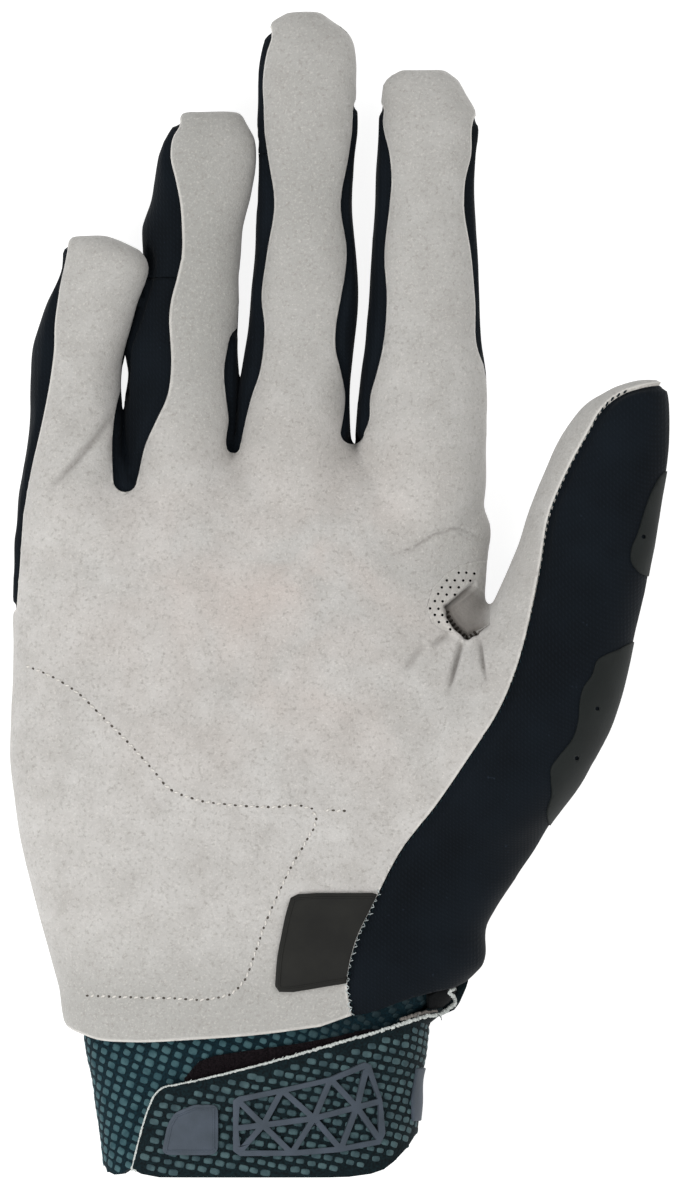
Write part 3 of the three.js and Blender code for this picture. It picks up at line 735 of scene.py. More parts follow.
def dress(made, node):
    """Hangs a piece under the root and hides the solid it stands for, if any."""
    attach(made, "root")
    if node:
        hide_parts(node)


# The little finger's tip is curled up, so the seam climbs under it: y, right and height.
LITTLE_SEAM = ((45, -38, 13), (60, -38, 17.5), (70, -38, 18.5), (84, -38, 19.5))


def suede_space(inset):
    """The space that suede fills: all over its outline and above the seam, or less by an inset."""
    space = block_over(widened(outline, -inset), SEAM_HEIGHT + inset)
    under = beam([(y, -75, right + inset, -5, high + inset) for y, right, high in LITTLE_SEAM])
    cut(space, under, "DIFFERENCE")
    return space


SUEDE_THICKNESS = 0.85
outline = palm_outline()
palm = copy_of(form, "palm_suede")
cut(palm, suede_space(0), "INTERSECT")
cut(palm, block_over(THUMB_GUSSET), "DIFFERENCE")
open_skin(palm)
palm_rim = rim_tree(palm.data, THUMB_GUSSET)
sink_near(palm, palm_rim, 0, 1.1, 0.22)
thicken(palm, SUEDE_THICKNESS, (suede, lining, suede_edge))
dress(palm, "palm_panel")

# Perforated web of the thumb
# A small insert of the same suede takes up the movement between thumb and palm. It is punched
# with rows of fine holes along the seam and folds into a little tent towards the index finger.
HOLE_RADIUS = 0.29
HOLE_PITCH = 1.7
ROW_PITCH = 0.87  # of the pitch along a row, as in a grid of triangles
HOLE_ROWS = range(-8, 9)  # about the middle of the insert
HOLE_MIDDLE = (25, -1.5)
HOLE_BAND = (
    (18.9, -3.2), (19.6, 0.4), (22.2, 3.4), (25.4, 5.6), (28.6, 6.0), (28.8, 3.4), (25.2, 0.7),
    (22.0, -2.2), (22.6, -5.2), (24.4, -7.5), (22.6, -7.4), (19.8, -5.6),
)


def punch(made, spots, radius):
    """Cuts a round hole down through a piece at each spot."""
    bm = bmesh.new()
    sizes = {"segments": 9, "radius1": radius * MM, "radius2": radius * MM, "depth": 0.06}
    for x, y in spots:
        bmesh.ops.create_cone(bm, cap_ends=True, matrix=Matrix.Translation((x * MM, y * MM, 0.03)), **sizes)
    cut(made, object_from(bm, "punch"), "DIFFERENCE")


web_suede = suede_material("perforated suede", "#C4C2BE", "#AFACA7", "#85807A", "#B5AAA2")
web = skin_in(copy_of(form, "thumb_web"), block_over(widened(THUMB_GUSSET, 0.02)))
store(web.data, "rim", np.full(len(web.data.vertices), 9))
thicken(web, SUEDE_THICKNESS, (web_suede, lining, suede_edge))
rng = random.Random(8)
punch_spots = []
for row in HOLE_ROWS:
    for column in HOLE_ROWS:
        x = HOLE_MIDDLE[0] + (column + 0.5 * (row % 2)) * HOLE_PITCH + rng.uniform(-0.15, 0.15)
        spot = (x, HOLE_MIDDLE[1] + row * HOLE_PITCH * ROW_PITCH + rng.uniform(-0.15, 0.15))
        if inside(spot, HOLE_BAND):
            punch_spots.append(spot)
punch(web, punch_spots, HOLE_RADIUS)
dress(web, "thumb_gusset")

# Back cloth
# The sides, the thumb's outer half and the back are one dark, fine stretch knit. It runs a
# little way under the suede's edge, and lies flat where the glove rests on it.
BACK_AREA = (
    (-72, -85), (-60, -87.5), (-55, -90.5), (-44, -92), (-20, -91.5), (2.4, -88.7), (8, -87.2),
    (12, -85.7), (16, -84.4), (20, -83.4), (24, -82.6), (27.1, -81.2), (29.4, -79.9), (75, -79.9),
    (75, 130), (-72, 130),
)
KNIT_PITCH = 0.55  # drawn coarser than the real 0.3 mm wale, so that it shows
WAVES = 0.314 / MM  # a wave texture's scale for one band a millimetre


# Nylon and elastane warp knit, dyed navy black: matt, with fine columns of stitches and a
# faint sheen on the curves.
def knit_material(name, light, dark, loop):
    material, tree, where = new_material(name)
    tone, _ = speckle(tree, where, 60, ((0.3, dark), (0.7, light)), Detail=3)
    lint, _ = speckle(tree, where, 900, ((0.72, 0.0), (0.8, 0.5)), Detail=2)
    wales, courses = (
        add_node(tree, "TexWave", {"bands_direction": way}, {"Vector": where, **shape}).outputs["Fac"]
        for way, shape in (
            ("DIAGONAL", {"Scale": WAVES / KNIT_PITCH, "Distortion": 1.2, "Detail": 2, "Detail Scale": 3}),
            ("X", {"Scale": WAVES / (KNIT_PITCH * 1.3), "Distortion": 1.0, "Detail": 1}),
        )
    )
    loops = add_node(tree, "Math", {"operation": "MULTIPLY"}, {0: wales, 1: courses}).outputs[0]
    lit = add_node(tree, "MapRange", inputs={"Value": loops, "To Max": 0.3}).outputs[0]
    knitted = add_node(tree, "Mix", OF_COLOURS, {0: lit, 6: tone, 7: linear(loop)}).outputs[2]
    colour = add_node(tree, "Mix", OF_COLOURS, {0: lint, 6: knitted, 7: linear("#2A333F")}).outputs[2]
    values = {"Roughness": 0.85, "Sheen Weight": 0.02, "Sheen Roughness": 0.4, "Specular IOR Level": 0.08}
    return finish(material, colour, values, (loops, 0.35, 0.0002))


knit = knit_material("navy stretch knit", "#10161C", "#0A0E12", "#192028")
# The same knit turned under at a seam, in its own shadow.
knit_edge = plain_cloth("folded knit edge", "#0D131A", "#06090D", 0.4, 0.9, 0.4)
TUCK = 0.9  # how far the cloth runs on under the suede
CLOTH_THICKNESS = 0.7


def sewn_under(skin, node):
    """Ends a skin of cloth as a piece that dips under the suede's edge."""
    sink_near(skin, palm_rim, 1.0, 2.6, 0.95)
    thicken(skin, CLOTH_THICKNESS, (knit, lining, knit_edge))
    dress(skin, node)


cloth = copy_of(form, "cloth")
cut(cloth, suede_space(TUCK), "DIFFERENCE")
cut(cloth, block_over(BACK_AREA, -5), "INTERSECT")

# Side strips of the fingers
# Between two fingers a narrow strip of the same knit joins their backs and fronts. Its lower
# seam climbs with the curl of the fingers.
STRIP_START = 6
STRIP_SHORT_OF_TIP = 9
STRIP_SEAM = ((0, 5), (0.25, 5.5), (0.6, 7.5), (1, 10.5))


def middle_of(finger, y):
    """How far across the middle of a finger is at a place along it."""
    row = next(row for row in finger if row[0] >= y)
    return (row[1] + row[2]) / 2


def strip_space(one, other, notch, spare):
    """The space of a side strip, from the middle of one finger to the middle of the next."""
    start = notch[1] - STRIP_START
    end = min(one[-1][0], other[-1][0]) - STRIP_SHORT_OF_TIP
    rows = []
    for share, low in STRIP_SEAM:
        y = start + (end - start) * share
        left, right = middle_of(one, y) - spare, middle_of(other, y) + spare
        rows.append((y + spare * (2 * share - 1), left, right, low - spare, 60))
    return beam(rows)


STRIPS = (
    ("side_strip_little_ring", LITTLE, RING, NOTCHES[0]),
    ("side_strip_ring_middle", RING, MIDDLE, NOTCHES[1]),
    ("side_strip_middle_index", MIDDLE, INDEX, NOTCHES[2]),
)
back = copy_of(cloth, "back_cloth")
for name, one, other, notch in STRIPS:
    sewn_under(skin_in(copy_of(cloth, "cloth_" + name), strip_space(one, other, notch, 0)), name)
    cut(back, strip_space(one, other, notch, 0.06), "DIFFERENCE")
open_skin(back)
sewn_under(back, "back_panel")
drop(cloth)

# Stitching on the palm
# One row of pale lock stitches outlines the second layer of suede at the heel of the hand.
# Each stitch sinks at both ends, where the needle holes show as dark dots of painted shade.
PALM_STITCHES = (
    (
        (-66.4, -14.8), (-60.4, -17.3), (-55.2, -20.5), (-49.8, -25.6), (-43.7, -31.7),
        (-38.8, -37.2), (-36, -40.4), (-30.1, -43), (-23.1, -44.1), (-14.1, -44.6), (-8.2, -44.4),
        (-5.6, -45.3), (-5.0, -47.4), (-6.4, -50.7), (-9.6, -56.2), (-12.6, -62.3), (-15.4, -68.7),
        (-17.9, -75.8), (-19.8, -80.6), (-22.4, -83.4), (-26.2, -84.6), (-36, -84.6), (-52, -84.2),
    ),
    ((-3.6, -45.2), (1.2, -45.4)),
)
STITCH_PITCH = 2.3
THREAD = 0.24


def surface_of(*made):
    """The surface of some pieces, for dropping details onto."""
    bm = bmesh.new()
    for each in made:
        bm.from_mesh(each.data)
    tree = BVHTree.FromBMesh(bm)
    bm.free()
    return tree


def drop_on(tree, x, y):
    """The point and slope of a surface straight below a place, or nothing."""
    spot, normal, _, _ = tree.ray_cast(Vector((x, y, 90)) * MM, Vector((0, 0, -1)))
    return spot, normal


def pace(path, pitch):
    """Evenly spaced places along a smooth curve through a path, with its direction there."""
    fine = np.array(eased(path, 0.2))
    lengths = lengths_along(fine)

    def reached(passed):
        return np.array([np.interp(passed, lengths, fine[:, i]) for i in (0, 1)])

    for passed in np.arange(pitch / 2, lengths[-1], pitch):
        way = reached(passed + 0.3) - reached(passed - 0.3)
        yield reached(passed), way / np.hypot(*way)


def bead(segments, rings, squareness=2):
    """A small ball of radius 1 m, to be flattened and laid down many times. Squareness 2 is round."""
    bm = bmesh.new()
    bmesh.ops.create_uvsphere(bm, u_segments=segments, v_segments=rings, radius=1)
    for vert in bm.verts:
        x, y = abs(vert.co.x), abs(vert.co.y)
        reach = (x**squareness + y**squareness) ** (1 / squareness)
        if reach > 0.001:
            vert.co.xy *= math.hypot(x, y) / reach
    mesh = bpy.data.meshes.new("bead")
    bm.to_mesh(mesh)
    bm.free()
    return mesh


def laid(spot, along, normal, sizes):
    """The place of a thing that lies along a direction on a surface, with its half sizes."""
    z_axis = normal.normalized()
    x_axis = (along - z_axis * along.dot(z_axis)).normalized()
    turn = Matrix((x_axis, z_axis.cross(x_axis), z_axis)).transposed().to_4x4()
    return Matrix.Translation(spot) @ turn @ Matrix.Diagonal((*(Vector(sizes) * MM), 1))


def many_of(shape, places, name, material):
    """Joins a copy of a small mesh at every place into one piece."""
    corners = places_of(shape)
    loops = np.empty(len(shape.loops), int)
    shape.loops.foreach_get("vertex_index", loops)
    starts = np.empty(len(shape.polygons), int)
    shape.polygons.foreach_get("loop_start", starts)
    turns = np.array(places)
    spots = np.einsum("nij,vj->nvi", turns[:, :3, :3], corners) + turns[:, None, :3, 3]
    number = np.arange(len(places))[:, None]
    mesh = bpy.data.meshes.new(name)
    mesh.vertices.add(spots.shape[0] * spots.shape[1])
    mesh.loops.add(len(places) * len(loops))
    mesh.polygons.add(len(places) * len(starts))
    mesh.vertices.foreach_set("co", spots.ravel())
    mesh.loops.foreach_set("vertex_index", (loops + number * len(corners)).ravel())
    mesh.polygons.foreach_set("loop_start", (starts + number * len(loops)).ravel())
    mesh.update(calc_edges=True)
    mesh.polygons.foreach_set("use_smooth", np.ones(len(mesh.polygons), bool))
    mesh.materials.append(material)
    made = new_object(name, mesh)
    bpy.data.meshes.remove(shape)
    dress(made, None)
    return made


palm_surface = surface_of(palm)
threads = []
needle_hole_shade = []
rng = random.Random(3)
for path in PALM_STITCHES:
    for (x, y), (dx, dy) in pace(path, STITCH_PITCH):
        slant = rng.uniform(0.25, 0.55)
        along = Vector((dx - dy * slant, dy + dx * slant, 0))
        spot, normal = drop_on(palm_surface, x, y)
        threads.append(laid(spot + normal * 0.06 * MM, along, normal, (0.62, THREAD, THREAD)))
        spot, normal = drop_on(palm_surface, x + dx * STITCH_PITCH / 2, y + dy * STITCH_PITCH / 2)
        sizes = (rng.uniform(0.3, 0.42), rng.uniform(0.22, 0.3), 0.1)
        needle_hole_shade.append(laid(spot, Vector((dx, dy, 0)), normal, sizes))

# Bonded polyester thread, slightly paler than the suede it sinks into.
thread = plain_cloth("pale polyester thread", "#DEDBD5", "#BEBAB3", 0.3, 0.7, 0.3)
# Painted shade of a needle hole: a dark bead on the suede.
hole_shadow = plain_cloth("needle hole", "#5A554F", "#3E3A35", 0.3, 0.95, 0.2)
many_of(bead(6, 4), threads, "palm_stitches", thread)
many_of(bead(6, 4), needle_hole_shade, "palm_needle_hole_shade", hole_shadow)

# Stitching of the thumb seam
# The suede is joined to the dark cloth by a dark overlock seam whose loops show as small
# bumps on the cloth. Beside the palm label the joint is whipped over in white thread.
OVERLOCK_PITCH = 1.6
OVERLOCK_OUT = 0.35
WHIP_PITCH = 1.5
WHIP_LEAD = -52  # the path starts above the first whip, so that it keeps the seam's curve
WHIPPED_BELOW = -62
seam_ground = surface_of(palm, back)
loops = []
for (x, y), (dx, dy) in pace(THUMB_SEAM[SEAM_OVER_TIP:], OVERLOCK_PITCH):
    # The seam runs down from the thumb's tip, so its cloth side is on the left of its way.
    spot, normal = drop_on(seam_ground, x - dy * OVERLOCK_OUT, y + dx * OVERLOCK_OUT)
    if normal.z > 0.2:
        along = Vector((dx - dy * 0.5, dy + dx * 0.5, 0))
        loops.append(laid(spot, along, normal, (0.6, 0.26, 0.24)))
# Textured nylon thread, dark teal, as overlock seams have.
overlock_thread = plain_cloth("dark overlock thread", "#16262C", "#0A1418", 0.3, 0.7, 0.3)
many_of(bead(6, 4), loops, "thumb_seam_loops", overlock_thread)
whips = []
for (x, y), (dx, dy) in pace([spot for spot in THUMB_SEAM if spot[1] < WHIP_LEAD], WHIP_PITCH):
    if y > WHIPPED_BELOW:
        continue
    for lean in (-1, 1):
        shift = rng.uniform(-0.25, 0.25)
        spot, normal = drop_on(seam_ground, x + shift, y + lean * WHIP_PITCH / 4)
        along = Vector((-dy + dx * lean * 0.8, dx + dy * lean * 0.8, 0))
        sizes = (rng.uniform(0.5, 0.85), 0.13, 0.13)
        whips.append(laid(spot + normal * 0.1 * MM, along, normal, sizes))
# Bonded polyester thread, white, over the joint.
whip_thread = plain_cloth("white whip thread", "#D3DBDB", "#9FA9AA", 0.3, 0.7, 0.3)
many_of(bead(6, 4), whips, "white_whip_stitches", whip_thread)

# The web's lower edge is bound with short stitches, pulled deep into the pinch; their dark brown is painted
# shade of the pinch.
PINCH = ((22.3, -3.4), (22.9, -4.9), (24.6, -7.3), (27.0, -9.2), (28.9, -7.9))
web_ground = surface_of(palm, web)
ties = []
for (x, y), (dx, dy) in pace(PINCH, 1.0):
    spot, normal = drop_on(web_ground, x, y)
    ties.append(laid(spot, Vector((dy, -dx, 0)), normal, (rng.uniform(0.6, 1.0), 0.33, 0.24)))
# The thread of the web's binding, dark brown as painted shade of the pinch.
pinch_shade_thread = plain_cloth("dark tie thread", "#45403B", "#2B2824", 0.3, 0.95, 0.3)
many_of(bead(8, 5), ties, "web_stitches", pinch_shade_thread)

# Palm label
# A thin moulded rubber patch, charcoal, sewn at the heel of the hand beside the thumb. It is
# left bare but for a low rim.
PALM_LABEL = (
    (-9.9, -62.6), (-11.3, -67), (-13.1, -76), (-13.6, -83.9), (2, -81.3), (12, -80), (12, -62.6),
)
RIM_INSET = 0.9
PRINT_GAP = 0.45  # radius of the gaps in a thin print


def eased_ring(outline, share=0.22):
    """A closed outline with each corner cut by a short curve."""
    points = np.array(outline, float)
    ring = []
    for before, here, after in zip(np.roll(points, 1, axis=0), points, np.roll(points, -1, axis=0)):
        start = here + (before - here) * share
        end = here + (after - here) * share
        ring += [tuple(start * (1 - t) ** 2 + 2 * here * t * (1 - t) + end * t * t) for t in (0, 0.5, 1)]
    return ring


def rubber_material(name, light, dark, roughness):
    material, tree, where = new_material(name)
    tone, _ = speckle(tree, where, 160, ((0.35, dark), (0.7, light)), Detail=4)
    grain = add_node(tree, "TexNoise", inputs={"Vector": where, "Scale": 2500, "Detail": 2})
    values = {"Roughness": roughness, "Specular IOR Level": 0.2}
    return finish(material, tone, values, (grain.outputs["Fac"], 0.25, 0.0001))


def rounded_edges(made, width):
    shaped_by(
        made, "BEVEL", width=width * MM, segments=2, limit_method="ANGLE", angle_limit=math.radians(50)
    )


def moulded_rim(made, outline, name, material):
    """A low bead just inside the edge of a rubber patch, made of many short runs."""
    ring = np.array(widened(outline, -RIM_INSET))
    surface = surface_of(made)
    runs = []
    for start, end in zip(ring, np.roll(ring, -1, axis=0)):
        way = end - start
        for share in np.linspace(0, 1, max(2, round(np.hypot(*way) / 0.5)), endpoint=False):
            spot, normal = drop_on(surface, *(start + way * share))
            if spot is not None:
                runs.append(laid(spot, Vector((*way, 0)), normal, (0.5, 0.26, 0.14)))
    many_of(bead(8, 5), runs, name, material)


def rubber_patch(skin, rise, thickness, material, node, gaps=()):
    """Ends a skin as a patch of rubber that stands off what it is laid on."""
    push(skin, rise)
    thicken(skin, thickness, (material,) * 3)
    if gaps:
        punch(skin, gaps, PRINT_GAP)
    else:
        rounded_edges(skin, 0.2)
    dress(skin, node)


# Moulded rubber, charcoal and matt.
label_rubber = rubber_material("charcoal rubber", "#1D1D1A", "#161614", 0.62)
label_outline = eased_ring(PALM_LABEL, 0.24)
label_blocks = (block_over(label_outline), block_over(widened(outline, -0.2)))
label = skin_in(copy_of(form, "palm_label_patch"), *label_blocks)
rubber_patch(label, 0.9, 0.95, label_rubber, "palm_label")
moulded_rim(label, label_outline, "palm_label_rim", label_rubber)

# Thumb prints
# Two patches of charcoal rubber are screen printed on the thumb's outer side, with a few
# small round gaps in the print.

# Columns: node, how low the print reaches, its outline and its gaps.
THUMB_PATCHES = (
    ("thumb_patch_upper", 16, (
        (72, 27), (67.6, 25.2), (65.6, 22), (64.2, 18.4), (62.3, 12.4), (61.1, 9.4), (61.1, 6.6),
        (62.3, 4.9), (72, 3.6),
    ), ((63.7, 12),)),
    ("thumb_patch_lower", 12, (
        (72, -10), (60.6, -10.4), (58.4, -11.6), (55.5, -12.8), (54, -13.8), (52.8, -17),
        (51.1, -19.4), (50.2, -23), (50, -26.2), (48.8, -30.2), (46, -33.8), (44.2, -36.6),
        (44.2, -39), (44.4, -41.9), (43.4, -45.8), (43.8, -48), (60, -48),
    ), ((54, -24), (49.7, -34.4))),
)
# Screen-printed rubber ink: a shade lighter than the knit and smoother, so it catches light.
print_rubber = rubber_material("printed rubber", "#1B1F1E", "#151918", 0.75)
for name, low, patch_outline, gaps in THUMB_PATCHES:
    patch = skin_in(copy_of(form, "print_" + name), block_over(eased(patch_outline, 0.8), low))
    rubber_patch(patch, 0.28, 0.5, print_rubber, name, gaps)

# Cuff
# A sleeve of teal knitted mesh over dark neoprene, tucked into the glove's wrist and sewn
# there. Its raised lozenges run in slanting rows, and its hem rises under the strap.

# Columns: y, left, right, low, high.
CUFF = (
    (-122.4, -49.3, 11.8, 3.6, 32.4), (-117, -49.9, 12.6, 3.6, 32.6), (-112, -50.5, 13.1, 3.6, 33),
    (-107, -51.3, 13.6, 3.6, 33.6), (-102, -51.9, 13.7, 3.8, 34.2), (-97, -53, 14.8, 3.9, 34.9),
    (-92, -53.7, 15.2, 3.7, 35), (-90, -53.8, 15.3, 3.7, 35.1), (-88.2, -53.9, 16.8, 3.8, 35.2),
    (-86, -54, 19.6, 3.9, 35.3), (-83.5, -54.2, 22, 4, 35.2), (-81.2, -54.2, 23.4, 4.2, 35.1),
    (-79, -54.2, 23.4, 4.4, 35),
)
CUFF_AREA = (
    (-60, -119.2), (-49.4, -119.8), (-48.6, -121.2), (-47.2, -121.8), (-46, -121.7), (-43.6, -120.2),
    (-40, -119.9), (0, -119.6), (6, -118.3), (10, -115.6), (12.6, -112), (14.2, -107), (40, -104),
    (40, -80), (-60, -80),
)
CUFF_WALL = 1.8
KNOT_REACH = 2.8  # the strap stands off the wrist form by up to this much
EDGE_MARGIN = 1.9
MESH_MIDDLE = -101  # the row of lozenges that the others are counted from
MESH_ROWS = 60  # on each side of it, more than enough to cover the wrist
KNOT_STEPS = ((2.25, 1.05), (-0.74, 1.86))  # from one lozenge to the next


def wrist_form(name, grow):
    """The wrist's own form, grown by a distance, as one closed tube."""
    bm = bmesh.new()
    add_tube(bm, fine_sections(CUFF, 1.2), 160, HAND_POWER, grow)
    bmesh.ops.recalc_face_normals(bm, faces=bm.faces)
    for face in bm.faces:
        face.material_index = int(len(face.verts) > 4)
    made = object_from(bm, name)
    for mark in marks:
        made.data.materials.append(mark)
    return made


def wrist_spots(steps, grow, y_low, y_high):
    """Places in slanting rows all round the wrist: point, outward normal and way round."""
    rows = fine_sections(CUFF, 0.5)
    angles = np.linspace(-math.pi / 2, 1.5 * math.pi, 721)

    def row_at(y):
        return curve_through(rows[:, 0], rows, np.array([y]))[0]

    for lengthwise in range(-MESH_ROWS, MESH_ROWS + 1):
        y = MESH_MIDDLE + lengthwise * steps[1][1]
        row = row_at(y)
        ring = [section_spot(row, angle, HAND_POWER, grow) / MM for angle in angles]
        passed = np.concatenate(([0], np.cumsum([(b - a).length for a, b in zip(ring, ring[1:])])))
        top = passed[len(passed) // 2]
        for across in range(-MESH_ROWS, MESH_ROWS + 1):
            place = top + lengthwise * steps[1][0] + across * steps[0][0]
            y_here = y + across * steps[0][1]
            if 0 < place < passed[-1] and y_low < y_here < y_high:
                number = int(np.searchsorted(passed, place)) - 1
                way = (ring[number + 1] - ring[number]).normalized()
                spot = section_spot(row_at(y_here), angles[number], HAND_POWER, grow)
                yield spot, Vector((way.z, 0, -way.x)), way


# Knitted nylon mesh laminated on foam: a dark ground, with the knots a lighter teal.
mesh_ground = plain_cloth("mesh ground", "#0C242C", "#06161C", 0.5, 0.85, 0.6)
cuff = skin_in(wrist_form("cuff_sleeve", 0), block_over(CUFF_AREA, -5))
thicken(cuff, CUFF_WALL, (mesh_ground, lining, mesh_ground))
rounded_edges(cuff, 0.3)
dress(cuff, "cuff")


# Teal monofilament knots, rubbed paler on top, with painted shade where the strap overhangs them.
def knot_material(name, top, side):
    material, tree, where = new_material(name)
    tone, _ = speckle(tree, where, 420, ((0.35, side), (0.65, top)), Detail=3)
    covered = add_node(tree, "Attribute", {"attribute_name": "covered"}).outputs["Fac"]
    colour = add_node(tree, "Mix", OF_COLOURS, {0: covered, 6: tone, 7: linear("#121F24")}).outputs[2]
    strands = add_node(tree, "TexNoise", inputs={"Vector": where, "Scale": 2600, "Detail": 2})
    values = {"Roughness": 0.7, "Specular IOR Level": 0.2}
    return finish(material, colour, values, (strands.outputs["Fac"], 0.5, 0.0002))


def add_knots(made, name, grow, steps, sizes, lean, material, y_range, seed, edge=()):
    """Sets a lozenge at each place of the mesh that lies on a piece, clear of its raw edge."""
    rng = random.Random(seed)
    tree = surface_of(made)
    places = []
    for spot, outward, way in wrist_spots(steps, grow, *y_range):
        found, normal, _, gap = tree.find_nearest(spot)
        if found is None or gap > KNOT_REACH * MM or normal.dot(outward) < 0.7:
            continue
        if any((found - other).length < EDGE_MARGIN * MM for other in edge):
            continue
        scale = rng.uniform(0.84, 1.1)
        along = way + Vector((0, lean + rng.uniform(-0.14, 0.14), 0))
        places.append(laid(found - normal * 0.05 * MM, along, normal, [size * scale for size in sizes]))
    return many_of(bead(16, 5, 4), places, name, material)


cuff_knot = knot_material("teal mesh knots", "#3E5C61", "#25434A")
cuff_mesh = add_knots(
    cuff, "cuff_mesh", 0, KNOT_STEPS, (0.93, 0.77, 0.17), 0.42, cuff_knot, (-121.2, -83), 11
)
# Painted shade on the knots at the top on the thumb side, under the strap's overhang.
across, along, _ = places_of(cuff_mesh.data).T / MM
store(cuff_mesh.data, "covered", 0.85 * np.clip((across + 14) / 15, 0, 1) * np.clip((along + 98) / 5, 0, 1))

# Loop pad
# The soft half of the strap's hook-and-loop fastening is sewn to the cuff. Its pile is nearly
# black and shows in the gap between the cuff and the strap.
LOOP_PAD = (
    (-32.5, -111), (-32.5, -101.5), (-29.5, -98), (-26, -96.7), (-18.8, -95.6), (-8.3, -94.1),
    (0, -92.6), (6, -91.2), (10, -91.4), (10, -111),
)
WRIST_MIDDLE = 19.0  # height of the wrist's middle
WRIST_X = -19.0
PILE_TUFTS = 1500
# Brushed nylon loops, nearly black.
loop_pile = plain_cloth("loop pile", "#181215", "#090608", 0.35, 1.0, 0.9)
pad = skin_in(wrist_form("loop_pad_pile", 1.3), block_over(LOOP_PAD, WRIST_MIDDLE))
thicken(pad, 1.0, (loop_pile,) * 3)
rounded_edges(pad, 0.25)
dress(pad, "loop_pad")


def scattered(made, count, seed):
    """Random places all over the upper side of a piece, with the slope there."""
    rng = random.Random(seed)
    faces = [face for face in made.data.polygons if face.normal.z > 0.1 and face.material_index != 1]
    for face in rng.choices(faces, [face.area for face in faces], k=count):
        corners = [made.data.vertices[number].co for number in face.vertices]
        shares = [rng.random() for _ in corners]
        yield sum((c * s for c, s in zip(corners, shares)), Vector()) / sum(shares), face.normal.copy()


rng = random.Random(17)
tufts = []
for spot, normal in scattered(pad, PILE_TUFTS, 17):
    lean = Vector([rng.uniform(-1, 1) for _ in range(3)])
    size = rng.uniform(0.16, 0.34)
    tufts.append(laid(spot, lean, normal, (size * 1.5, size, size)))
many_of(bead(6, 4), tufts, "loop_pad_tufts", loop_pile)

# Wrist strap
# A strap of the same mesh, laminated on white foam, comes round from the thumb side and closes
# over the palm side of the cuff. Its upper edge is cut raw, so the white core shows.
STRAP_FRONT = (
    (-43.6, -120.4), (-42.7, -116.8), (-41.3, -111.5), (-39.9, -107.3), (-38.6, -104.7),
    (-36.9, -103.3), (-34.5, -102.8), (-27.2, -101.2), (-11.9, -97.3), (2.2, -93.3), (8, -91.7),
    (14.8, -89.5), (18.9, -88.1), (21.6, -87.2), (23.4, -86.8), (24.4, -86.2), (24.4, -85.2),
    (23.8, -84.2), (23.2, -83.2), (24.6, -82.4), (26.6, -81.2),
)
STRAP_FOOT = (
    (40, -102), (19.6, -106), (17.7, -109.5), (16.5, -112.6), (14.3, -116), (11.4, -119),
    (9.3, -120.6), (6.6, -121.5), (2, -122.1), (-2, -122.2),
)
STRAP_END = ((-37.7, -122.2), (-41.5, -121.5))
STRAP_BACK = (
    (-30, -122), (-30, -98.5), (4, -98.5), (12, -94), (18, -88.5), (23, -84.2), (24.6, -82.4),
    (26.6, -81), (40, -81),
)
STRAP_TOP = 3.4  # height of the strap's face over the cuff
STRAP_THICKNESS = 1.8
STRAP_CORNER = (24, -87)
STRAP_LIFT = 2.5
STRAP_LIFT_REACH = 12.0
# Knitted nylon mesh, its dark ground.
strap_ground = plain_cloth("strap mesh ground", "#0E1E22", "#070E11", 0.5, 0.85, 0.6)
# Polyurethane foam, white where it is cut.
strap_core = plain_cloth("white foam core", "#C9CDC9", "#A3A8A6", 0.4, 0.9, 0.6)
# Brushed backing cloth, greyed.
strap_backing = plain_cloth("grey strap backing", "#807B76", "#5E5A57", 0.5, 0.95, 0.4)


def rim_along(mesh, path):
    """The points of a skin's open edge that lie under a path on the palm side, in order along it."""
    bm = bmesh.new()
    bm.from_mesh(mesh)
    spots = [v.co.copy() for v in bm.verts if v.is_boundary and v.co.z > (WRIST_MIDDLE - 1) * MM]
    bm.free()
    gaps, along = along_path(np.array([spot[:2] for spot in spots]) / MM, path)
    near = [(place, number) for number, (gap, place) in enumerate(zip(gaps, along)) if gap < 0.9]
    return [spots[number] for _, number in sorted(near)]


def lifted(made):
    """Stands a piece off the cuff towards the strap's upper corner, at the side below the thumb."""
    from_corner = np.hypot(*(places_of(made.data)[:, :2] / MM - STRAP_CORNER).T)
    push(made, STRAP_LIFT * np.clip(1 - from_corner / STRAP_LIFT_REACH, 0, 1) ** 3)


strap_outline = eased(STRAP_FRONT, 0.6) + [(40, -81.2)] + list(STRAP_FOOT + STRAP_END)
strap_form = wrist_form("strap_form", STRAP_TOP)
halves = [
    skin_in(copy_of(strap_form, "strap_half"), half)
    for half in (
        block_over(strap_outline, WRIST_MIDDLE), block_over(STRAP_BACK + STRAP_FOOT, -5, WRIST_MIDDLE)
    )
]
bm = bmesh.new()
for half in halves:
    bm.from_mesh(half.data)
bmesh.ops.remove_doubles(bm, verts=bm.verts, dist=0.1 * MM)
strap = object_from(bm, "wrist_strap_band")
drop(strap_form, *halves)
lifted(strap)
edge_line = rim_along(strap.data, STRAP_FRONT)
foot_line = rim_along(strap.data, STRAP_FOOT)
thicken(strap, STRAP_THICKNESS, (strap_ground, strap_backing, strap_ground))
rounded_edges(strap, 0.35)
dress(strap, "wrist_strap")
STRAP_KNOT_STEPS = ((2.45, 0.5), (-1.15, 1.72))
strap_knot = knot_material("strap mesh knots", "#43595C", "#2A3D42")
add_knots(
    strap, "strap_mesh", STRAP_TOP, STRAP_KNOT_STEPS, (1.02, 0.66, 0.17), 0.16, strap_knot,
    (-121.4, -83.5), 23, edge_line + foot_line,
)
# A fold of lining, painted black as shade, fills the hollow between the cuff and the strap's loose corner.
LINING_FOLD = ((18.6, -96), (18.6, -84.4), (20.6, -82.8), (40, -81.6), (40, -96))
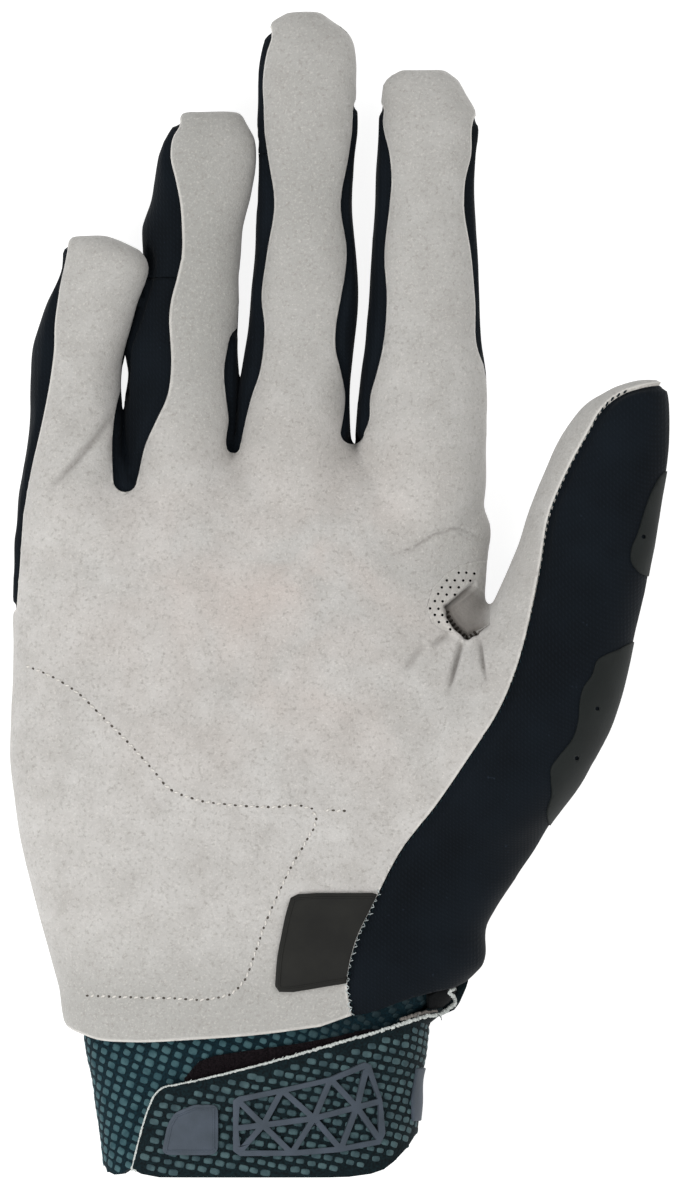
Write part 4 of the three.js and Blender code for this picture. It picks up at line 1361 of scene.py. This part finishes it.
# The cuff's neoprene lining, black in the strap's shade.
shaded_lining = plain_cloth("shaded lining", "#0A0C0E", "#050607", 0.4, 0.95, 0.4)
fold_form = wrist_form("strap_lining_fold", STRAP_TOP - STRAP_THICKNESS - 0.1)
fold = skin_in(fold_form, block_over(LINING_FOLD, 2))
lifted(fold)
thicken(fold, 1.2, (shaded_lining, lining, shaded_lining))
dress(fold, None)

# The raw edge is a line of white foam and cut fibres along the strap's upper edge: thin and even
# at the free end, thick and ragged towards the thumb, where the grey backing shows beside it.
def ragged_edge(line, name, material, seed, inward=0.0, start_x=-60, fibres=True):
    rng = random.Random(seed)

    def scatter(reach):
        return Vector([rng.uniform(-1, 1) * reach for _ in range(3)])

    places = []
    for before, spot in zip(line[:-1], line[1:]):
        along = spot - before
        if spot.x < start_x * MM or along.length < 1e-6:
            continue
        towards_thumb = min(max((spot.x / MM + 36) / 60, 0), 1)
        size = 0.21 + 0.17 * towards_thumb
        wander = 0.03 + 0.12 * towards_thumb
        outward = Vector((spot.x - WRIST_X * MM, 0, spot.z - WRIST_MIDDLE * MM)).normalized()
        side = along.cross(outward).normalized()
        if side.dot(Vector((0.2, 1, 0))) < 0:
            side.negate()
        offset = (side * inward - outward * (0.12 + inward)) * MM
        for share in np.linspace(0, 1, max(2, round(along.length / (0.3 * MM))), endpoint=False):
            here = before + along * share + scatter(wander) * MM + offset
            width = size * rng.uniform(0.7, 1.3)
            sizes = (rng.uniform(0.35, 0.6), width, width)
            places.append(laid(here, along.normalized() + scatter(wander * 2), outward, sizes))
            if fibres and rng.random() < 0.16 * towards_thumb:
                out = side * rng.choice((-0.5, 0.5)) + outward * 0.2
                out += along.normalized() * rng.choice((-1, 1))
                reach = rng.uniform(0.3, 0.7)
                places.append(laid(here + out * reach * MM, out, outward, (reach, 0.08, 0.08)))
    return many_of(bead(7, 5), places, name, material)


# Beyond the corner the white core turns back up the strap's side, under the cloth's hem.
STRAP_HOOK = ((23.6, -86.7), (24.3, -86.1), (24.3, -85.2), (23.8, -84.3), (23, -83.4), (24.2, -82.8))
HOOK_START = 23.5
corner_ground = surface_of(strap, fold)
hook = [drop_on(corner_ground, x, y)[0] for x, y in eased(STRAP_HOOK, 0.3)]
edge_line = [spot for spot in edge_line if spot.x < HOOK_START * MM]
edge_line += [spot for spot in hook if spot is not None]
ragged_edge(edge_line, "strap_raw_edge", strap_core, 5)
ragged_edge(edge_line[:-len(hook)], "strap_backing_edge", strap_backing, 6, 0.7, 14, False)
# One thread has worked loose and stands in a small arc below the corner.
LOOSE_THREAD = (20.1, -89.4)
LOOSE_RADIUS = 1.3
arc = []
near = min(edge_line, key=lambda spot: abs(spot.x - LOOSE_THREAD[0] * MM))
for turn in np.linspace(0.05, 0.95, 12) * math.pi:
    out = Vector((math.cos(turn), math.sin(turn), 0))
    here = (Vector((*LOOSE_THREAD, near.z / MM)) + out * LOOSE_RADIUS) * MM
    arc.append(laid(here, Vector((-out.y, out.x, 0)), Vector((0, 0, 1)), (0.26, 0.09, 0.09)))
many_of(bead(6, 4), arc, "loose_thread", overlock_thread)

# Rubber on the strap
# A lattice of triangles, a badge at the free end and a bar at the outer edge are moulded on
# the mesh in slate grey rubber. The badge is left bare but for a low rim.
LATTICE_BAR = 1.22
LATTICE_EDGE = (
    (-22.3, -106), (-21, -105.2), (-12, -103.4), (-2, -101.2), (5.4, -98), (6.6, -98.6),
    (9, -106), (9.7, -113), (8.6, -115.3), (0, -116.9), (-9, -117.6), (-20.8, -117.7), (-22.3, -116.6),
)
LATTICE_TOP = ((-21.4, -105.9), (-12, -103.9), (-1.8, -101.6), (5.9, -98.6))
LATTICE_MIDDLE = ((-21.8, -111.9), (-16, -111.2), (-5.3, -109.8), (3.7, -107.5), (8.9, -106.2))
LATTICE_FOOT = ((-21.2, -117.1), (-10, -117.1), (0.3, -116.3), (8.8, -114.7))
BADGE = (
    (-34.5, -108.6), (-30.4, -106.9), (-26.4, -106.9), (-25.4, -107.8), (-25.4, -116.4),
    (-26.6, -117.5), (-36.2, -117.5), (-37.2, -116.6), (-36, -111),
)
SIDE_PRINT = ((16.4, -99.6), (40, -99), (40, -110.6), (15.6, -110.6), (15.4, -106))
PRINT_TOP = STRAP_TOP + 0.9


def lattice_holes():
    """The lattice's open triangles, each drawn in from its corners by half a bar."""
    top, middle, foot = LATTICE_TOP, LATTICE_MIDDLE, LATTICE_FOOT
    cells = [(middle[0], top[0], middle[1]), (middle[0], foot[0], middle[1])]
    for i in range(3):
        for chord in (top, foot):
            cells.append((chord[i], chord[i + 1], middle[i + 1]))
            cells.append((middle[i + 1], chord[i + 1], middle[i + 2]))
    holes = []
    for cell in cells:
        corners = np.array(cell, float)
        a, b, c = corners
        sides = np.hypot(*(np.roll(corners, -1, axis=0) - np.roll(corners, 1, axis=0)).T)
        centre = sides @ corners / sides.sum()
        area = abs((b[0] - a[0]) * (c[1] - a[1]) - (b[1] - a[1]) * (c[0] - a[0])) / 2
        keep = 1 - LATTICE_BAR * sides.sum() / (4 * area)
        holes.append([tuple(spot) for spot in centre + (corners - centre) * keep])
    return holes


# Moulded rubber, slate grey and matt.
slate_rubber = rubber_material("slate rubber", "#444C57", "#394149", 0.65)
lattice_block = block_over(LATTICE_EDGE, WRIST_MIDDLE, holes=lattice_holes())
for name, node, top, block in (
    ("lattice_print", "strap_lattice", PRINT_TOP, lattice_block),
    ("badge_print", "strap_badge", PRINT_TOP, block_over(eased_ring(BADGE), WRIST_MIDDLE)),
    ("side_bar_print", "strap_side_print", PRINT_TOP - 0.35, block_over(SIDE_PRINT, 10)),
):
    rubber = skin_in(wrist_form(name, top), block)
    rubber_patch(rubber, 0, 0.8, slate_rubber, node)
    if name == "badge_print":
        moulded_rim(rubber, BADGE, "badge_rim", slate_rubber)

drop(form)

# Studio
# The glove lies on a pale floor under broad soft lamps, seen from straight above.
bm = bmesh.new()
bmesh.ops.create_grid(bm, x_segments=2, y_segments=2, size=2.5)
bmesh.ops.translate(bm, verts=bm.verts, vec=(0, 0, -0.0002))
floor = object_from(bm, "studio_floor")
# Seamless studio paper, lit up so that it photographs as plain white.
floor_paper, tree, where = new_material("white studio paper")
tone, _ = speckle(tree, where, 6, ((0.3, "#A6A6A5"), (0.7, "#A9A9A8")), Detail=2)
lit_up = {"Roughness": 0.9, "Emission Color": (1, 1, 1, 1), "Emission Strength": 0.88}
floor.data.materials.append(finish(floor_paper, tone, lit_up))

world = bpy.data.worlds.new("studio")
world.use_nodes = True
world.node_tree.nodes["Background"].inputs["Color"].default_value = (1, 1, 1, 1)
world.node_tree.nodes["Background"].inputs["Strength"].default_value = 0.55
bpy.context.scene.world = world


def soft_lamp(name, place, size, power):
    lamp = bpy.data.lights.new(name, "AREA")
    lamp.shape = "SQUARE"
    lamp.size = size
    lamp.energy = power
    holder = new_object(name, lamp)
    holder.location = place
    holder.rotation_mode = "QUATERNION"
    holder.rotation_quaternion = (-Vector(place)).to_track_quat("-Z", "Y")


soft_lamp("key", (-0.75, -0.55, 1.25), 0.9, 17)
soft_lamp("fill", (0.9, 0.6, 1.3), 1.2, 8)

PIXEL = 0.21 * MM  # what one pixel of the photograph spans at the glove
PHOTO_HEIGHT = 1200
PHOTO_MIDDLE = (343, 600)
ORIGIN_PIXEL = (339.5, 594)
CAMERA_HEIGHT = 6.0
SUBJECT_HEIGHT = 0.018
camera_data = bpy.data.cameras.new("camera")
camera_data.sensor_width = 36
camera_data.lens = camera_data.sensor_width * (CAMERA_HEIGHT - SUBJECT_HEIGHT) / (PHOTO_HEIGHT * PIXEL)
camera_data.clip_end = 30
camera = new_object("camera", camera_data)
across, down = (middle - origin for middle, origin in zip(PHOTO_MIDDLE, ORIGIN_PIXEL))
camera.location = (across * PIXEL, -down * PIXEL, CAMERA_HEIGHT)
bpy.context.scene.camera = camera
bpy.context.scene.view_settings.view_transform = "Standard"
